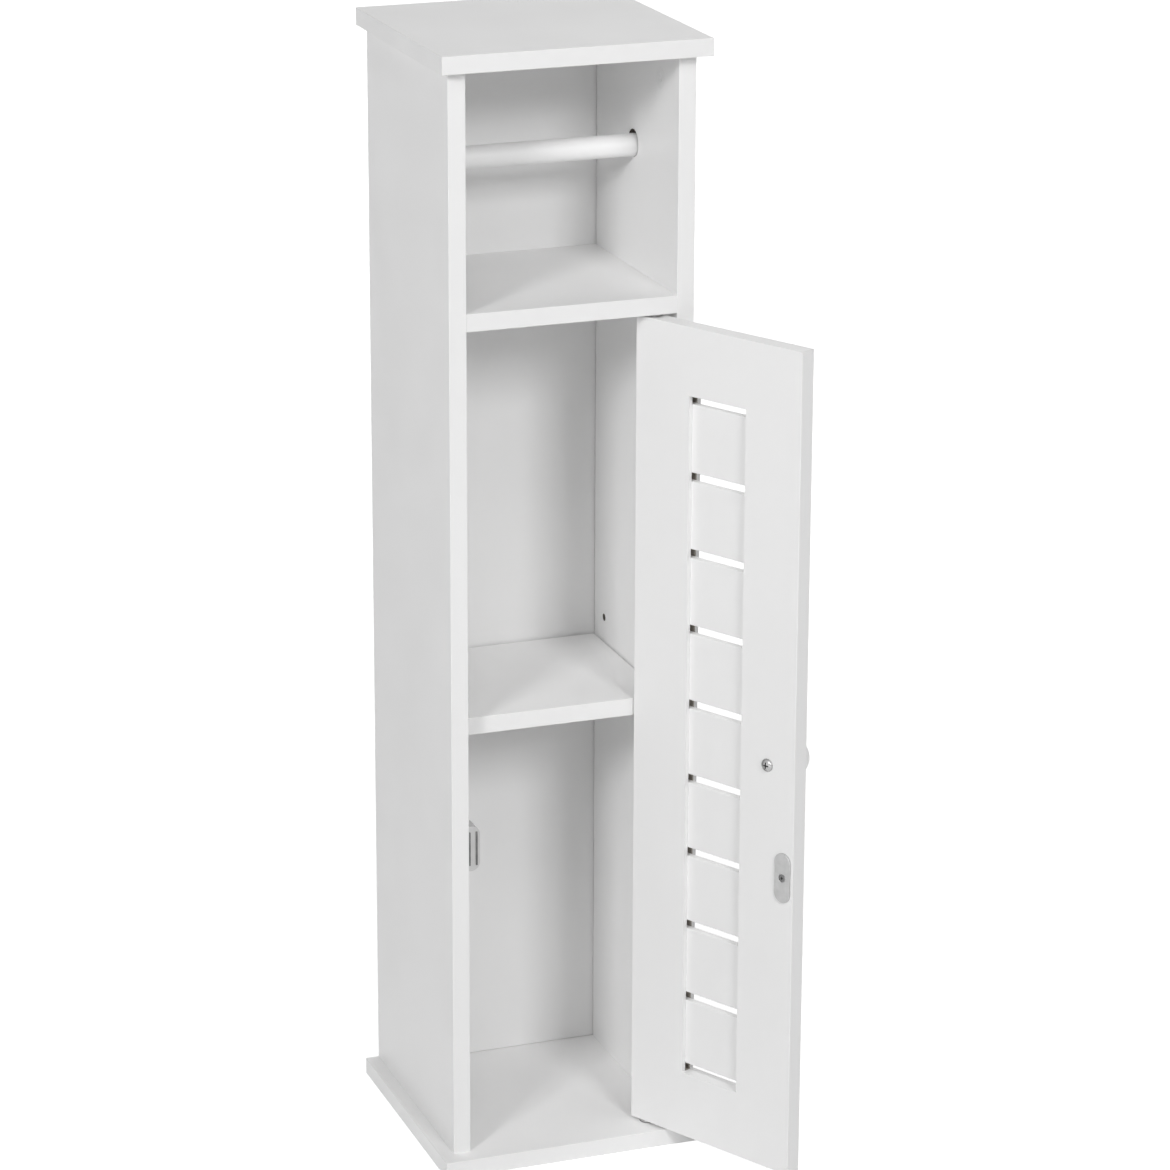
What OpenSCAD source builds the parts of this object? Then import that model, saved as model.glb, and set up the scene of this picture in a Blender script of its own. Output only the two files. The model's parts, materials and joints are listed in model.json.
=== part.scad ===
// Slim painted cabinet for toilet rolls: an open niche with a roll bar above,
// and a compartment with a loose shelf below, behind a slatted door on pivot pins.
// Millimetres. The origin is the centre of the base panel's footprint, on the
// floor. +Z is up, the fronts face -Y and +X is the viewer's right.

/* [Boards] */
// Thickness of every painted board, frame part and panel
board_t = 12; // [11:0.5:16]
// Thickness of the thin back panel
back_t = 3; // [2.5:0.5:5]
// Thickness of a door slat
slat_t = 5; // [4:0.5:6]

/* [Carcass] */
// Width across the outer faces of the two sides
body_w = 170; // [160:1:220]
// Depth of the sides, front edge to rear edge
body_d = 170; // [150:1:220]
// Height of the sides, between the base panel and the top panel
side_h = 752; // [700:1:900]
// Clear height of the open niche, from its shelf to the top panel
niche_h = 160; // [145:1:200]
// How far the top panel stands out past each side
top_side_over = 7.5; // [2:0.5:15]
// How far the top panel stands out in front of the sides
top_front_over = 11.5; // [2:0.5:20]
// How far the base panel stands out past each side
base_side_over = 9.5; // [2:0.5:20]
// How far the base panel stands out in front of the sides
base_front_over = 13; // [6:0.5:25]
// Rear edge of a side to the rear face of the back panel
back_inset = 14.5; // [8:0.5:25]
// Depth of the groove in each side that holds the back panel
groove_d = 5; // [3:0.5:6]
// Play of the back panel in its grooves, in all
panel_play = 0.2; // [0.1:0.05:0.5]
// Room in its grooves in front of the back panel, besides that play
groove_room = 0.5; // [0:0.1:0.8]

/* [Middle shelf] */
// Base panel's top face to the centre of the pins that carry the shelf
pin_row_up = 295; // [200:0.5:380]
// Play between the shelf and each side
shelf_side_gap = 1; // [0.6:0.1:2]
// Play between the shelf and the back panel
shelf_back_gap = 2; // [0.5:0.1:3]
// Front edges of the sides back to the shelf's front edge
shelf_in = 14.5; // [13:0.5:30]
// Slant of the shelf's corner by the hinge, in degrees
shelf_slant = 30; // [25:5:40]
// Room between that corner and the sweep of the door's hinge edge
shelf_door_gap = 0.8; // [0.6:0.1:2]
// Radius of the shelf's other front corner
shelf_corner_r = 4; // [2:0.5:8]
// Room under the shelf where it lies on its pins
shelf_rest_gap = 0.1; // [0.05:0.05:0.3]
// Diameter of a shelf pin
pin_d = 5; // [4:0.5:6]
// Depth of a shelf pin's hole in the side
pin_hole_deep = 8; // [6:0.5:9]
// How far a shelf pin reaches in under the shelf
pin_reach = 8; // [6:0.5:14]
// Diameter of the thin collar that stops a shelf pin at the side
pin_collar_d = 7; // [6.5:0.5:9]
// Distance between the rows of pin holes
pin_pitch = 32; // [25:1:40]
// Front row of pins behind the shelf's front edge
pin_front_in = 22.5; // [12:0.5:40]
// Rear row of pins in front of the back panel
pin_back_in = 19.5; // [12:0.5:40]

/* [Roll bar] */
// Diameter of the roll bar
bar_d = 15.5; // [12:0.5:20]
// How much wider than the bar its two sockets are
socket_play = 3; // [2:0.5:7]
// Underside of the top panel to the centre of the sockets
bar_down = 74.5; // [60:0.5:90]
// Front edges of the sides to the centre of the sockets
bar_back = 82; // [70:1:90]
// How far each end of the bar lies in its socket
bar_grip = 4.5; // [3:0.5:5]
// Depth of the shallow socket, in the left side
socket_shallow = 5.5; // [5.2:0.1:7]
// Depth of the deep socket, in the right side, which lets the bar slip out
socket_deep = 9.5; // [8:0.5:10]
// Room between the bar and the bottom of its sockets
bar_rest_gap = 0.2; // [0.1:0.05:0.3]

/* [Door] */
// Gap beside the door at its hinge edge and at its free edge
door_side_gap = 3; // [2.5:0.25:4]
// Gap above and below the door
door_end_gap = 2; // [1.9:0.1:4]
// Width of the door's two stiles
stile_w = 46; // [40:1:52]
// Height of the door's top and bottom rails
rail_w = 47; // [40:1:70]
// Number of slats in the door
slat_count = 9; // [4:1:12]
// Height of the open slot above and below each slat
slot_h = 6; // [4:0.5:12]
// Length of slat that is held in each stile's groove
slat_tongue = 8; // [6:0.5:12]
// Play of a slat in its groove, at each face
slat_play = 0.1; // [0.05:0.05:0.2]
// Play past each slat's end in the groove
slat_end_play = 0.5; // [0.3:0.1:1]
// How far open the door stands at rest
open_angle = 118; // [0:1:128]

/* [Pivots] */
// Hinge edge of the door to the pivot axis
pivot_in = 10.5; // [9.5:0.5:12]
// Diameter of the steel pivot pins
pivot_d = 5; // [4:0.5:6]
// How far each pivot pin is pressed into the door
pivot_in_door = 14; // [10:1:25]
// Radial play of a pivot pin in its bush
pivot_play = 0.05; // [0.02:0.01:0.08]
// Wall of a pivot bush
bush_wall = 1.5; // [1:0.25:2]
// Depth of a pivot bush in its board
bush_deep = 8; // [6:0.5:9]
// Thickness of a bush's flange
flange_t = 0.9; // [0.6:0.1:1]
// Width of a bush's flange outside its wall
flange_w = 1.75; // [1:0.25:2.5]
// Thickness of the washer that the door turns on
washer_t = 0.8; // [0.5:0.1:0.9]

/* [Knob] */
// Largest diameter of the knob
knob_d = 28; // [20:0.5:32]
// How far the knob stands out of the door
knob_h = 20; // [16:0.5:28]
// Radius of the knob's rounded rim
knob_rim_r = 8; // [5:0.5:8]
// Diameter of the knob's foot
knob_foot_d = 13; // [10:0.5:18]
// Bottom edge of the door to the knob's centre
knob_up = 290; // [200:1:380]
// Diameter of the knob's screw
knob_screw_d = 4; // [3:0.5:5]
// Diameter of the knob screw's round head
knob_head_d = 9; // [7:0.5:11]
// Height of the knob screw's round head
knob_head_h = 2.4; // [1.5:0.1:3]
// How far the knob's screw goes into the knob
knob_thread = 10; // [8:0.5:12]

/* [Magnetic catch] */
// Width of the obround strike plate
strike_w = 13; // [10:0.5:16]
// Height of the obround strike plate
strike_h = 35; // [28:0.5:45]
// Thickness of the strike plate
strike_t = 1.2; // [1:0.1:1.6]
// Free edge of the door to the centre of the strike plate
strike_in = 8.4; // [7.5:0.1:12]
// Bottom edge of the door to the centre of the strike plate
strike_up = 214; // [120:1:280]
// How far the catch stands out from the side
catch_w = 12.7; // [12:0.1:15]
// Depth of the catch, front to back
catch_d = 15; // [13:0.5:20]
// Height of the catch
catch_h = 32; // [30:0.5:40]
// Radius of the catch's two free corners
catch_r = 6; // [3:0.5:6]
// Side of the cabinet to the middle of the magnet
magnet_in = 7.7; // [7:0.1:8]
// Thickness of the magnet
magnet_t = 3.8; // [3:0.1:4]
// Thickness of a pole plate
pole_t = 1.2; // [0.8:0.1:1.4]
// Height of the magnet and its pole plates
pole_h = 24; // [18:0.5:24]
// Depth of the pole plates in the catch
pole_deep = 7; // [5:0.5:7]
// Thickness of the catch's front between the two pole plates
web_t = 1.5; // [1:0.1:2]
// How far the pole plates stand out of the catch
pole_out = 0.8; // [0.5:0.1:1.2]
// Gap between the pole plates and the strike plate with the door closed
catch_gap = 0.3; // [0.2:0.1:1]

/* [Joining hardware] */
// Diameter of a cam lock
cam_d = 15; // [12:0.5:16]
// Thickness of a cam lock
cam_h = 8.4; // [8:0.1:8.6]
// Thickness of the cap that hides a cam lock
cap_t = 1.2; // [1:0.1:1.3]
// How far that cap lies under the face of its board
cap_sink = 0.2; // [0.1:0.05:0.3]
// Joint face to the centre of a cam lock
cam_reach = 21; // [20:0.5:30]
// Front edges of the sides to the front cam locks
cam_front_in = 33.5; // [30:0.5:45]
// Back panel to the rear cam locks
cam_back_in = 30; // [24:0.5:40]
// Diameter of a cam bolt's thread
bolt_d = 5; // [4:0.5:6]
// Length of a cam bolt's thread
bolt_thread = 8.5; // [7:0.5:9]
// Diameter of a cam bolt's neck
bolt_neck_d = 3.5; // [3:0.5:4]
// Diameter of a cam bolt's head
bolt_head_d = 5.6; // [5:0.1:6]
// Diameter of the hole that a cam bolt lies in
bolt_hole_d = 7; // [6.5:0.5:7.5]
// Diameter of a wooden dowel
dowel_d = 6; // [5:0.5:7]
// Length of a dowel in the edge of a board
dowel_long = 16; // [12:0.5:20]
// Length of a dowel in the face of a board
dowel_short = 8; // [6:0.5:9]
// Diameter of a base screw
screw_d = 4; // [3:0.5:4.5]
// Diameter of a base screw's countersunk head
screw_head_d = 8; // [7:0.5:9]
// Length of a base screw
screw_l = 32; // [28:1:45]
// Rear edges of the sides to the rear base screws
screw_back_in = 30; // [24:1:50]
// Diameter of a pin that nails the back panel to the niche shelf
nail_d = 1.6; // [1.2:0.1:2]
// Diameter of that pin's head
nail_head_d = 4; // [3:0.5:5]
// Length of that pin
nail_l = 18; // [14:1:25]
// Middle of the back panel to each of those pins
nail_off = 42; // [25:1:50]
// Radial play of a dowel, pin or thread in its hole
fit_play = 0.05; // [0.02:0.01:0.08]

/* [Hidden] */

$fn = 64;
eps = 0.5;                       // overlap of a cut past a face
end_room = 0.3;                  // room past the end of what lies in a blind hole

// Carcass
inner_w = body_w - 2 * board_t;
side_x = inner_w / 2;            // inner face of a side
front_y = (base_front_over - body_d) / 2;
rear_y = front_y + body_d;
panel_y = rear_y - back_inset - back_t;
base_top = board_t;
side_top = base_top + side_h;
niche_z = side_top - niche_h;    // top face of the niche shelf
niche_under = niche_z - board_t;
mid_t = board_t / 2;

// Cam locks, dowels and screws along the depth of the cabinet
cam_front_y = front_y + cam_front_in;
cam_back_y = panel_y - cam_back_in;
cam_ys = [cam_front_y, cam_back_y];
dowel_y = (cam_front_y + cam_back_y) / 2;
screw_ys = [cam_front_y, rear_y - screw_back_in];
screw_head_h = (screw_head_d - screw_d) / 2;
screw_sink = 0.4;                // countersunk heads lie this far under the face
recess_w = 0.9;                  // width of a cross recess's arms
recess_share = 0.6;              // its span and depth, as a share of its head's
dome_share = 0.35;               // domed part of a round head's height
crown_share = 0.72;              // flat crown of a round head, as a share of its width
collar_play = 0.6;               // play of a cam bolt's collar in its hole
nail_head_h = 0.8;
catch_screw_d = 2.5;
catch_screw_head_d = 4.6;
catch_screw_l = 9;
catch_screw_head_h = 1.6;
collar_d = bolt_hole_d - collar_play;
collar_h = 1.5;
bolt_head_h = 3;
cam_slot_room = 1;               // extra width of a cam lock's slots round its bolt
cam_recess_deep = 0.8;           // depth of a cam lock's cross recess
cam_down = cap_sink + cap_t;     // board's face to a cam lock's face
cap_dish_d = 6.8;                // shallow dish in the middle of a cap
cap_dish_deep = 0.6;
dowel_tip = 0.6;                 // chamfer at a dowel's ends

// Door, drawn closed and then turned about its pivots
door_bottom = base_top + door_end_gap;
door_top = niche_under - door_end_gap;
door_h = door_top - door_bottom;
door_w = inner_w - 2 * door_side_gap;
hinge_x = side_x - door_side_gap;          // hinge edge of the closed door
free_x = -hinge_x;                         // free edge of the closed door
pivot = [hinge_x - pivot_in, front_y + mid_t];
slat_h = (door_h - 2 * rail_w - (slat_count + 1) * slot_h) / slat_count;
slat_run = slat_h + slot_h;
opening_w = door_w - 2 * stile_w;
slat_groove_d = slat_tongue + slat_end_play;
knob_x = free_x + stile_w / 2;
knob_z = door_bottom + knob_up;
strike_x = free_x + strike_in;
strike_z = door_bottom + strike_up;
strike_screw_d = 3;
strike_screw_head_d = 6.2;
strike_screw_l = 10;

// Pivot pins and bushes
bush_bore_d = pivot_d + 2 * pivot_play;
bush_d = bush_bore_d + 2 * bush_wall;
flange_d = bush_d + 2 * flange_w;
bush_floor = 0.6;                          // closed end of a bush
pivot_end_play = 0.4;                      // pin's end to the bush's closed end
pin_in_bush = bush_deep - bush_floor - pivot_end_play;
pivot_l = pivot_in_door + door_end_gap + pin_in_bush;

// Middle shelf: its corner by the hinge is cut at a slant, along a line that touches a circle round the
// pivot a little wider than the one that the door's corner sweeps
slant_r = norm([pivot_in, mid_t]) + shelf_door_gap;
slant_touch = pivot + slant_r * [-sin(shelf_slant), cos(shelf_slant)];
shelf_y = front_y + shelf_in;
shelf_back = panel_y - shelf_back_gap;
shelf_w = inner_w - 2 * shelf_side_gap;
pin_z = base_top + pin_row_up;
shelf_z = pin_z + pin_d / 2 + shelf_rest_gap;
pin_ys = [shelf_y + pin_front_in, panel_y - pin_back_in];
pin_collar_t = shelf_side_gap - end_room;

// Roll bar
socket_d = bar_d + socket_play;
socket_y = front_y + bar_back;
socket_z = side_top - bar_down;
bar_z = socket_z - socket_play / 2 + bar_rest_gap;
bar_l = inner_w + 2 * bar_grip;
bar_chamfer = 0.8;

// Magnetic catch, level with the strike plate
catch_y = front_y + board_t + strike_t + catch_gap + pole_out;
catch_screw_y = catch_y + (pole_deep + catch_d) / 2;
magnet_x = -side_x + magnet_in;
pole_x = (magnet_t + pole_t) / 2;          // magnet's middle to a pole plate's
pole_slot = pole_t + 2 * fit_play;
pocket_w = 2 * pole_x + pole_slot;

// A box between two corners
module block(low, high) {
    translate(low) cube([for (i = [0 : 2]) high[i] - low[i]]);
}

// A cylinder of diameter d along +X or -X from a point, for holes and pins
module rod_x(d, from, to, y, z) {
    translate([min(from, to), y, z]) rotate([0, 90, 0])
        cylinder(d = d, h = abs(to - from));
}

// Cross recess, cut down from z = 0 into a screw's head
module cross_recess(span, deep) {
    for (turn = [0, 90]) rotate(turn)
        translate([-span / 2, -recess_w / 2, -deep])
            cube([span, recess_w, deep + eps]);
}

// Countersunk screw, its head's face at z = 0 and its point down
module sunk_screw(d, head_d, length) {
    cone_h = (head_d - d) / 2;
    difference() {
        union() {
            translate([0, 0, -cone_h]) cylinder(d1 = d, d2 = head_d, h = cone_h);
            translate([0, 0, -length + d / 2]) cylinder(d = d, h = length - d / 2);
            translate([0, 0, -length]) cylinder(d1 = d / 4, d2 = d, h = d / 2);
        }
        cross_recess(head_d * recess_share, cone_h * recess_share);
    }
}

// Hole for a countersunk screw whose head lies sink under z = 0
module sunk_hole(d, head_d, length, sink) {
    cone_h = (head_d - d) / 2;
    translate([0, 0, -length]) cylinder(d = d + 2 * fit_play, h = length + eps);
    translate([0, 0, -sink - cone_h])
        cylinder(d1 = d + 2 * fit_play, d2 = head_d + 2 * fit_play, h = cone_h);
    translate([0, 0, -sink]) cylinder(d = head_d + 2 * fit_play, h = sink + eps);
}

// Cam lock under a board's face at z = 0, for a bolt that comes along +X at mid board
module cam_lock() {
    neck = bolt_neck_d + cam_slot_room;
    head = bolt_head_d + cam_slot_room;
    low = -cam_down - cam_h;
    difference() {
        translate([0, 0, low]) cylinder(d = cam_d - 2 * fit_play, h = cam_h);
        translate([0, -neck / 2, low - eps])
            cube([cam_d, neck, neck / 2 - mid_t - low + eps]);
        translate([-bolt_head_h, -head / 2, low - eps])
            cube([bolt_head_h + cam_slot_room + bolt_head_h / 2, head,
                  head / 2 - mid_t - low + eps]);
        translate([0, 0, -cam_down]) cross_recess(cam_d / 2, cam_recess_deep);
    }
}

// Cap that lies on a cam lock, its middle dished
module cam_cap() {
    difference() {
        translate([0, 0, -cam_down]) cylinder(d = cam_d - 2 * fit_play, h = cap_t);
        translate([0, 0, -cap_sink - cap_dish_deep])
            cylinder(d1 = cap_dish_d / 3, d2 = cap_dish_d, h = cap_dish_deep);
        translate([0, 0, -cap_sink]) cylinder(d = cap_dish_d, h = eps);
    }
}

// Cam bolt: thread below z = 0, collar, neck and head above it
module cam_bolt() {
    translate([0, 0, -bolt_thread]) cylinder(d = bolt_d, h = bolt_thread);
    cylinder(d = collar_d, h = collar_h);
    cylinder(d = bolt_neck_d, h = cam_reach);
    translate([0, 0, cam_reach - bolt_head_h / 2])
        cylinder(d = bolt_head_d, h = bolt_head_h);
}

// Holes for one cam bolt: its long hole above z = 0 and its thread's hole below
module bolt_hole() {
    cylinder(d = bolt_hole_d, h = cam_reach);
    thread_hole();
}

module thread_hole() {
    translate([0, 0, -bolt_thread - fit_play])
        cylinder(d = bolt_d + 2 * fit_play, h = bolt_thread + eps);
}

// Dowel, its long end above z = 0
module dowel() {
    tip_d = dowel_d - 2 * dowel_tip;
    translate([0, 0, dowel_tip - dowel_short])
        cylinder(d = dowel_d, h = dowel_short + dowel_long - 2 * dowel_tip);
    translate([0, 0, -dowel_short]) cylinder(d1 = tip_d, d2 = dowel_d, h = dowel_tip);
    translate([0, 0, dowel_long - dowel_tip])
        cylinder(d1 = dowel_d, d2 = tip_d, h = dowel_tip);
}

module dowel_hole() {
    translate([0, 0, -dowel_short - end_room])
        cylinder(d = dowel_d + 2 * fit_play, h = dowel_short + dowel_long + 2 * end_room);
}

// Children for both sides, which mirror each other about the middle
module both_sides() {
    for (side = [0, 1]) mirror([side, 0, 0]) children();
}

// Places on the right half where a side meets the top panel, with +Z down
module at_top_joints(ys) {
    for (y = ys) translate([side_x + mid_t, y, side_top]) rotate([180, 0, 0]) children();
}

// Places on the right half where the niche shelf meets a side, with +Z inwards
module at_shelf_joints(ys) {
    for (y = ys) translate([side_x, y, niche_z - mid_t]) rotate([0, -90, 0]) children();
}

// Places on the right half where a side meets the base panel, with +Z up
module at_base_joints(ys) {
    for (y = ys) translate([side_x + mid_t, y, base_top]) children();
}

// The four cam locks of the right half: two in the side, two under the shelf
module at_right_cams() {
    for (y = cam_ys) {
        translate([side_x, y, side_top - cam_reach]) rotate([0, -90, 0]) children();
        translate([side_x - cam_reach, y, niche_under]) rotate([180, 0, 0]) children();
    }
}

module cam_recess() {
    deep = cam_down + cam_h + fit_play;
    translate([0, 0, -deep]) cylinder(d = cam_d, h = deep + eps);
}

// Where the door's four corners of stile and rail are dowelled, +Z into the rail
module at_door_dowels() {
    rail_mids = [door_bottom + rail_w / 2, door_top - rail_w / 2];
    for (z = rail_mids, off = [-1, 1] * rail_w / 4) {
        translate([hinge_x - stile_w, pivot.y, z + off]) rotate([0, -90, 0]) children();
        translate([free_x + stile_w, pivot.y, z + off]) rotate([0, 90, 0]) children();
    }
}

// Turns the closed door about its pivots to where it stands at rest
module open_door() {
    translate([pivot.x, pivot.y, 0]) rotate([0, 0, open_angle])
        translate([-pivot.x, -pivot.y, 0]) children();
}

module top_panel() {
    color("white") difference() {
        block([-body_w / 2 - top_side_over, front_y - top_front_over, side_top],
              [body_w / 2 + top_side_over, rear_y, side_top + board_t]);
        both_sides() {
            at_top_joints(cam_ys) thread_hole();
            at_top_joints([dowel_y]) dowel_hole();
        }
    }
}

module base_panel() {
    color("white") difference() {
        block([-body_w / 2 - base_side_over, front_y - base_front_over, 0],
              [body_w / 2 + base_side_over, rear_y, base_top]);
        both_sides() {
            at_base_joints([dowel_y]) dowel_hole();
            for (y = screw_ys) translate([side_x + mid_t, y, 0]) rotate([180, 0, 0])
                sunk_hole(screw_d, screw_head_d, screw_l, screw_sink);
        }
        translate([pivot.x, pivot.y, base_top]) bush_hole();
    }
}

// A side board, drawn as the right one
module side_board(socket_deep_here) {
    difference() {
        block([side_x, front_y, base_top], [body_w / 2, rear_y, side_top]);
        block([side_x - eps, panel_y - panel_play / 2 - groove_room, base_top - eps],
              [side_x + groove_d, panel_y + back_t + panel_play / 2, side_top + eps]);
        rod_x(socket_d, side_x - eps, side_x + socket_deep_here, socket_y, socket_z);
        for (y = pin_ys, row = [-1 : 1])
            rod_x(pin_d + 2 * fit_play, side_x - eps, side_x + pin_hole_deep,
                  y, pin_z + row * pin_pitch);
        at_right_cams() cam_recess();
        at_top_joints(cam_ys) bolt_hole();
        at_top_joints([dowel_y]) dowel_hole();
        at_shelf_joints(cam_ys) thread_hole();
        at_shelf_joints([dowel_y]) dowel_hole();
        at_base_joints([dowel_y]) dowel_hole();
        for (y = screw_ys) translate([side_x + mid_t, y, 0])
            cylinder(d = screw_d + 2 * fit_play, h = screw_l + screw_sink + end_room);
    }
}

module right_side() {
    color("white") side_board(socket_deep);
}

module left_side() {
    color("white") difference() {
        mirror([1, 0, 0]) side_board(socket_shallow);
        at_catch_screws() translate([0, 0, -catch_screw_l - fit_play])
            cylinder(d = catch_screw_d + 2 * fit_play, h = catch_screw_l + eps);
    }
}

module back_panel() {
    reach = side_x + groove_d - panel_play;
    color("gainsboro") difference() {
        block([-reach, panel_y, base_top + panel_play],
              [reach, panel_y + back_t, side_top - panel_play]);
        at_nails() translate([0, 0, -nail_l])
            cylinder(d = nail_d + 2 * fit_play, h = nail_l + eps);
    }
}

module niche_shelf() {
    color("white") difference() {
        block([-side_x, front_y, niche_under], [side_x, panel_y, niche_z]);
        both_sides() {
            at_right_cams() cam_recess();
            at_shelf_joints(cam_ys) bolt_hole();
            at_shelf_joints([dowel_y]) dowel_hole();
        }
        translate([pivot.x, pivot.y, niche_under]) mirror([0, 0, 1]) bush_hole();
        at_nails() translate([0, 0, -nail_l])
            cylinder(d = nail_d + 2 * fit_play, h = nail_l + eps);
    }
}

module middle_shelf() {
    r = shelf_corner_r;
    h = shelf_w / 2;
    over = h + r;
    slope = tan(shelf_slant);
    start = [slant_touch.x - (slant_touch.y - shelf_y) / slope, shelf_y];
    color("white") translate([0, 0, shelf_z]) linear_extrude(board_t) difference() {
        union() {
            translate([-h, shelf_y + r]) square([shelf_w, shelf_back - shelf_y - r]);
            translate([-h + r, shelf_y]) square([shelf_w - r, 2 * r]);
            translate([-h + r, shelf_y + r]) circle(r);
        }
        polygon([start, [over, shelf_y + (over - start.x) * slope], [over, shelf_y - r], [start.x, shelf_y - r]]);
    }
}

module roll_bar() {
    c = bar_chamfer;
    color("white") translate([-bar_l / 2, socket_y, bar_z]) rotate([0, 90, 0]) {
        cylinder(d1 = bar_d - 2 * c, d2 = bar_d, h = c);
        translate([0, 0, c]) cylinder(d = bar_d, h = bar_l - 2 * c);
        translate([0, 0, bar_l - c]) cylinder(d1 = bar_d, d2 = bar_d - 2 * c, h = c);
    }
}

// A stile of the closed door between x1 and x2, grooved along groove_x
module stile(x1, x2, groove_x1, groove_x2) {
    half = slat_t / 2 + slat_play;
    difference() {
        block([x1, front_y, door_bottom], [x2, front_y + board_t, door_top]);
        block([groove_x1, pivot.y - half, door_bottom + rail_w],
              [groove_x2, pivot.y + half, door_top - rail_w]);
        at_door_dowels() dowel_hole();
    }
}

module door_hinge_stile() {
    inner = hinge_x - stile_w;
    color("white") open_door() difference() {
        stile(inner, hinge_x, inner - eps, inner + slat_groove_d);
        for (z = [door_bottom - eps, door_top - pivot_in_door - end_room])
            translate([pivot.x, pivot.y, z])
                cylinder(d = pivot_d + 2 * fit_play, h = pivot_in_door + eps + end_room);
    }
}

module door_latch_stile() {
    inner = free_x + stile_w;
    color("white") open_door() difference() {
        stile(free_x, inner, inner - slat_groove_d, inner + eps);
        translate([knob_x, front_y - eps, knob_z]) rotate([-90, 0, 0])
            cylinder(d = knob_screw_d + 2 * fit_play, h = board_t + 2 * eps);
        translate([strike_x, front_y + board_t, strike_z]) rotate([-90, 0, 0])
            translate([0, 0, -strike_screw_l])
                cylinder(d = strike_screw_d + 2 * fit_play, h = strike_screw_l + eps);
    }
}

// A rail of the closed door, its lower edge at z
module rail(z) {
    color("white") open_door() difference() {
        block([free_x + stile_w, front_y, z],
              [hinge_x - stile_w, front_y + board_t, z + rail_w]);
        at_door_dowels() dowel_hole();
    }
}

module door_top_rail() rail(door_top - rail_w);

module door_bottom_rail() rail(door_bottom);

// Slats are counted from the bottom of the door
module door_slat(i) {
    reach = opening_w / 2 + slat_tongue;
    z = door_bottom + rail_w + slot_h + (i - 1) * slat_run;
    color("whitesmoke") open_door()
        block([-reach, pivot.y - slat_t / 2, z], [reach, pivot.y + slat_t / 2, z + slat_h]);
}

module door_dowels() {
    color("burlywood") open_door() at_door_dowels() dowel();
}

// Knob: a foot that widens to a rounded rim and a flat crown, its base at z = 0
module knob_shape() {
    rim_x = knob_d / 2 - knob_rim_r;
    rotate_extrude($fn = 96) intersection() {
        square([knob_d, knob_h]);
        union() {
            square([knob_foot_d / 2, knob_h - knob_rim_r]);
            translate([0, knob_h - 2 * knob_rim_r]) square([rim_x, 2 * knob_rim_r]);
            translate([rim_x, knob_h - knob_rim_r]) circle(knob_rim_r, $fn = 96);
        }
    }
}

module door_knob() {
    color("white") open_door() translate([knob_x, front_y, knob_z]) rotate([90, 0, 0])
        difference() {
            knob_shape();
            translate([0, 0, -eps])
                cylinder(d = knob_screw_d + 2 * fit_play, h = knob_thread + eps + end_room);
        }
}

module knob_screw() {
    dome = knob_head_h * dome_share;
    color("silver") open_door() translate([knob_x, front_y + board_t, knob_z])
        rotate([-90, 0, 0]) difference() {
            union() {
                translate([0, 0, -board_t - knob_thread])
                    cylinder(d = knob_screw_d, h = board_t + knob_thread);
                cylinder(d = knob_head_d, h = knob_head_h - dome);
                translate([0, 0, knob_head_h - dome])
                    cylinder(d1 = knob_head_d, d2 = knob_head_d * crown_share, h = dome);
            }
            translate([0, 0, knob_head_h])
                cross_recess(knob_head_d * recess_share, knob_head_h * recess_share);
        }
}

module strike_plate() {
    straight = strike_h - strike_w;
    color("silver") open_door() translate([strike_x, front_y + board_t, strike_z])
        rotate([-90, 0, 0]) difference() {
            linear_extrude(strike_t) union() {
                square([strike_w, straight], center = true);
                for (z = [-1, 1] * straight / 2) translate([0, z]) circle(d = strike_w);
            }
            translate([0, 0, strike_t])
                sunk_hole(strike_screw_d, strike_screw_head_d, strike_t + eps, 0);
        }
}

// Its countersunk head is as high as the strike plate is thick
module strike_screw() {
    color("silver") open_door()
        translate([strike_x, front_y + board_t + strike_t, strike_z]) rotate([-90, 0, 0])
            difference() {
                union() {
                    translate([0, 0, -strike_t])
                        cylinder(d1 = strike_screw_d, d2 = strike_screw_head_d, h = strike_t);
                    translate([0, 0, -strike_screw_l])
                        cylinder(d = strike_screw_d, h = strike_screw_l);
                }
                cross_recess(strike_screw_head_d * recess_share, strike_t * recess_share);
            }
}

// Bush: a closed tube below z = 0 with a flange on the board's face
module bush() {
    difference() {
        union() {
            translate([0, 0, -bush_deep]) cylinder(d = bush_d, h = bush_deep);
            cylinder(d = flange_d, h = flange_t);
        }
        translate([0, 0, bush_floor - bush_deep])
            cylinder(d = bush_bore_d, h = bush_deep + flange_t + eps);
    }
}

module bush_hole() {
    translate([0, 0, -bush_deep - fit_play])
        cylinder(d = bush_d + 2 * fit_play, h = bush_deep + fit_play + eps);
}

module lower_pivot_bush() {
    color("ivory") translate([pivot.x, pivot.y, base_top]) bush();
}

module upper_pivot_bush() {
    color("ivory") translate([pivot.x, pivot.y, niche_under]) mirror([0, 0, 1]) bush();
}

module lower_pivot_pin() {
    color("silver") open_door() translate([pivot.x, pivot.y, base_top - pin_in_bush])
        cylinder(d = pivot_d, h = pivot_l);
}

module upper_pivot_pin() {
    color("silver") open_door()
        translate([pivot.x, pivot.y, niche_under + pin_in_bush - pivot_l])
            cylinder(d = pivot_d, h = pivot_l);
}

// It lies on the lower bush's flange, and the door turns on it
module pivot_washer() {
    color("silver") translate([pivot.x, pivot.y, base_top + flange_t]) difference() {
        cylinder(d = flange_d, h = washer_t);
        translate([0, 0, -eps]) cylinder(d = bush_bore_d, h = washer_t + 2 * eps);
    }
}

// The two screws of the catch, +Z out of the side towards the middle
module at_catch_screws() {
    for (z = [-1, 1] * catch_h / 4)
        translate([-side_x, catch_screw_y, strike_z + z]) rotate([0, 90, 0]) children();
}

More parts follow.
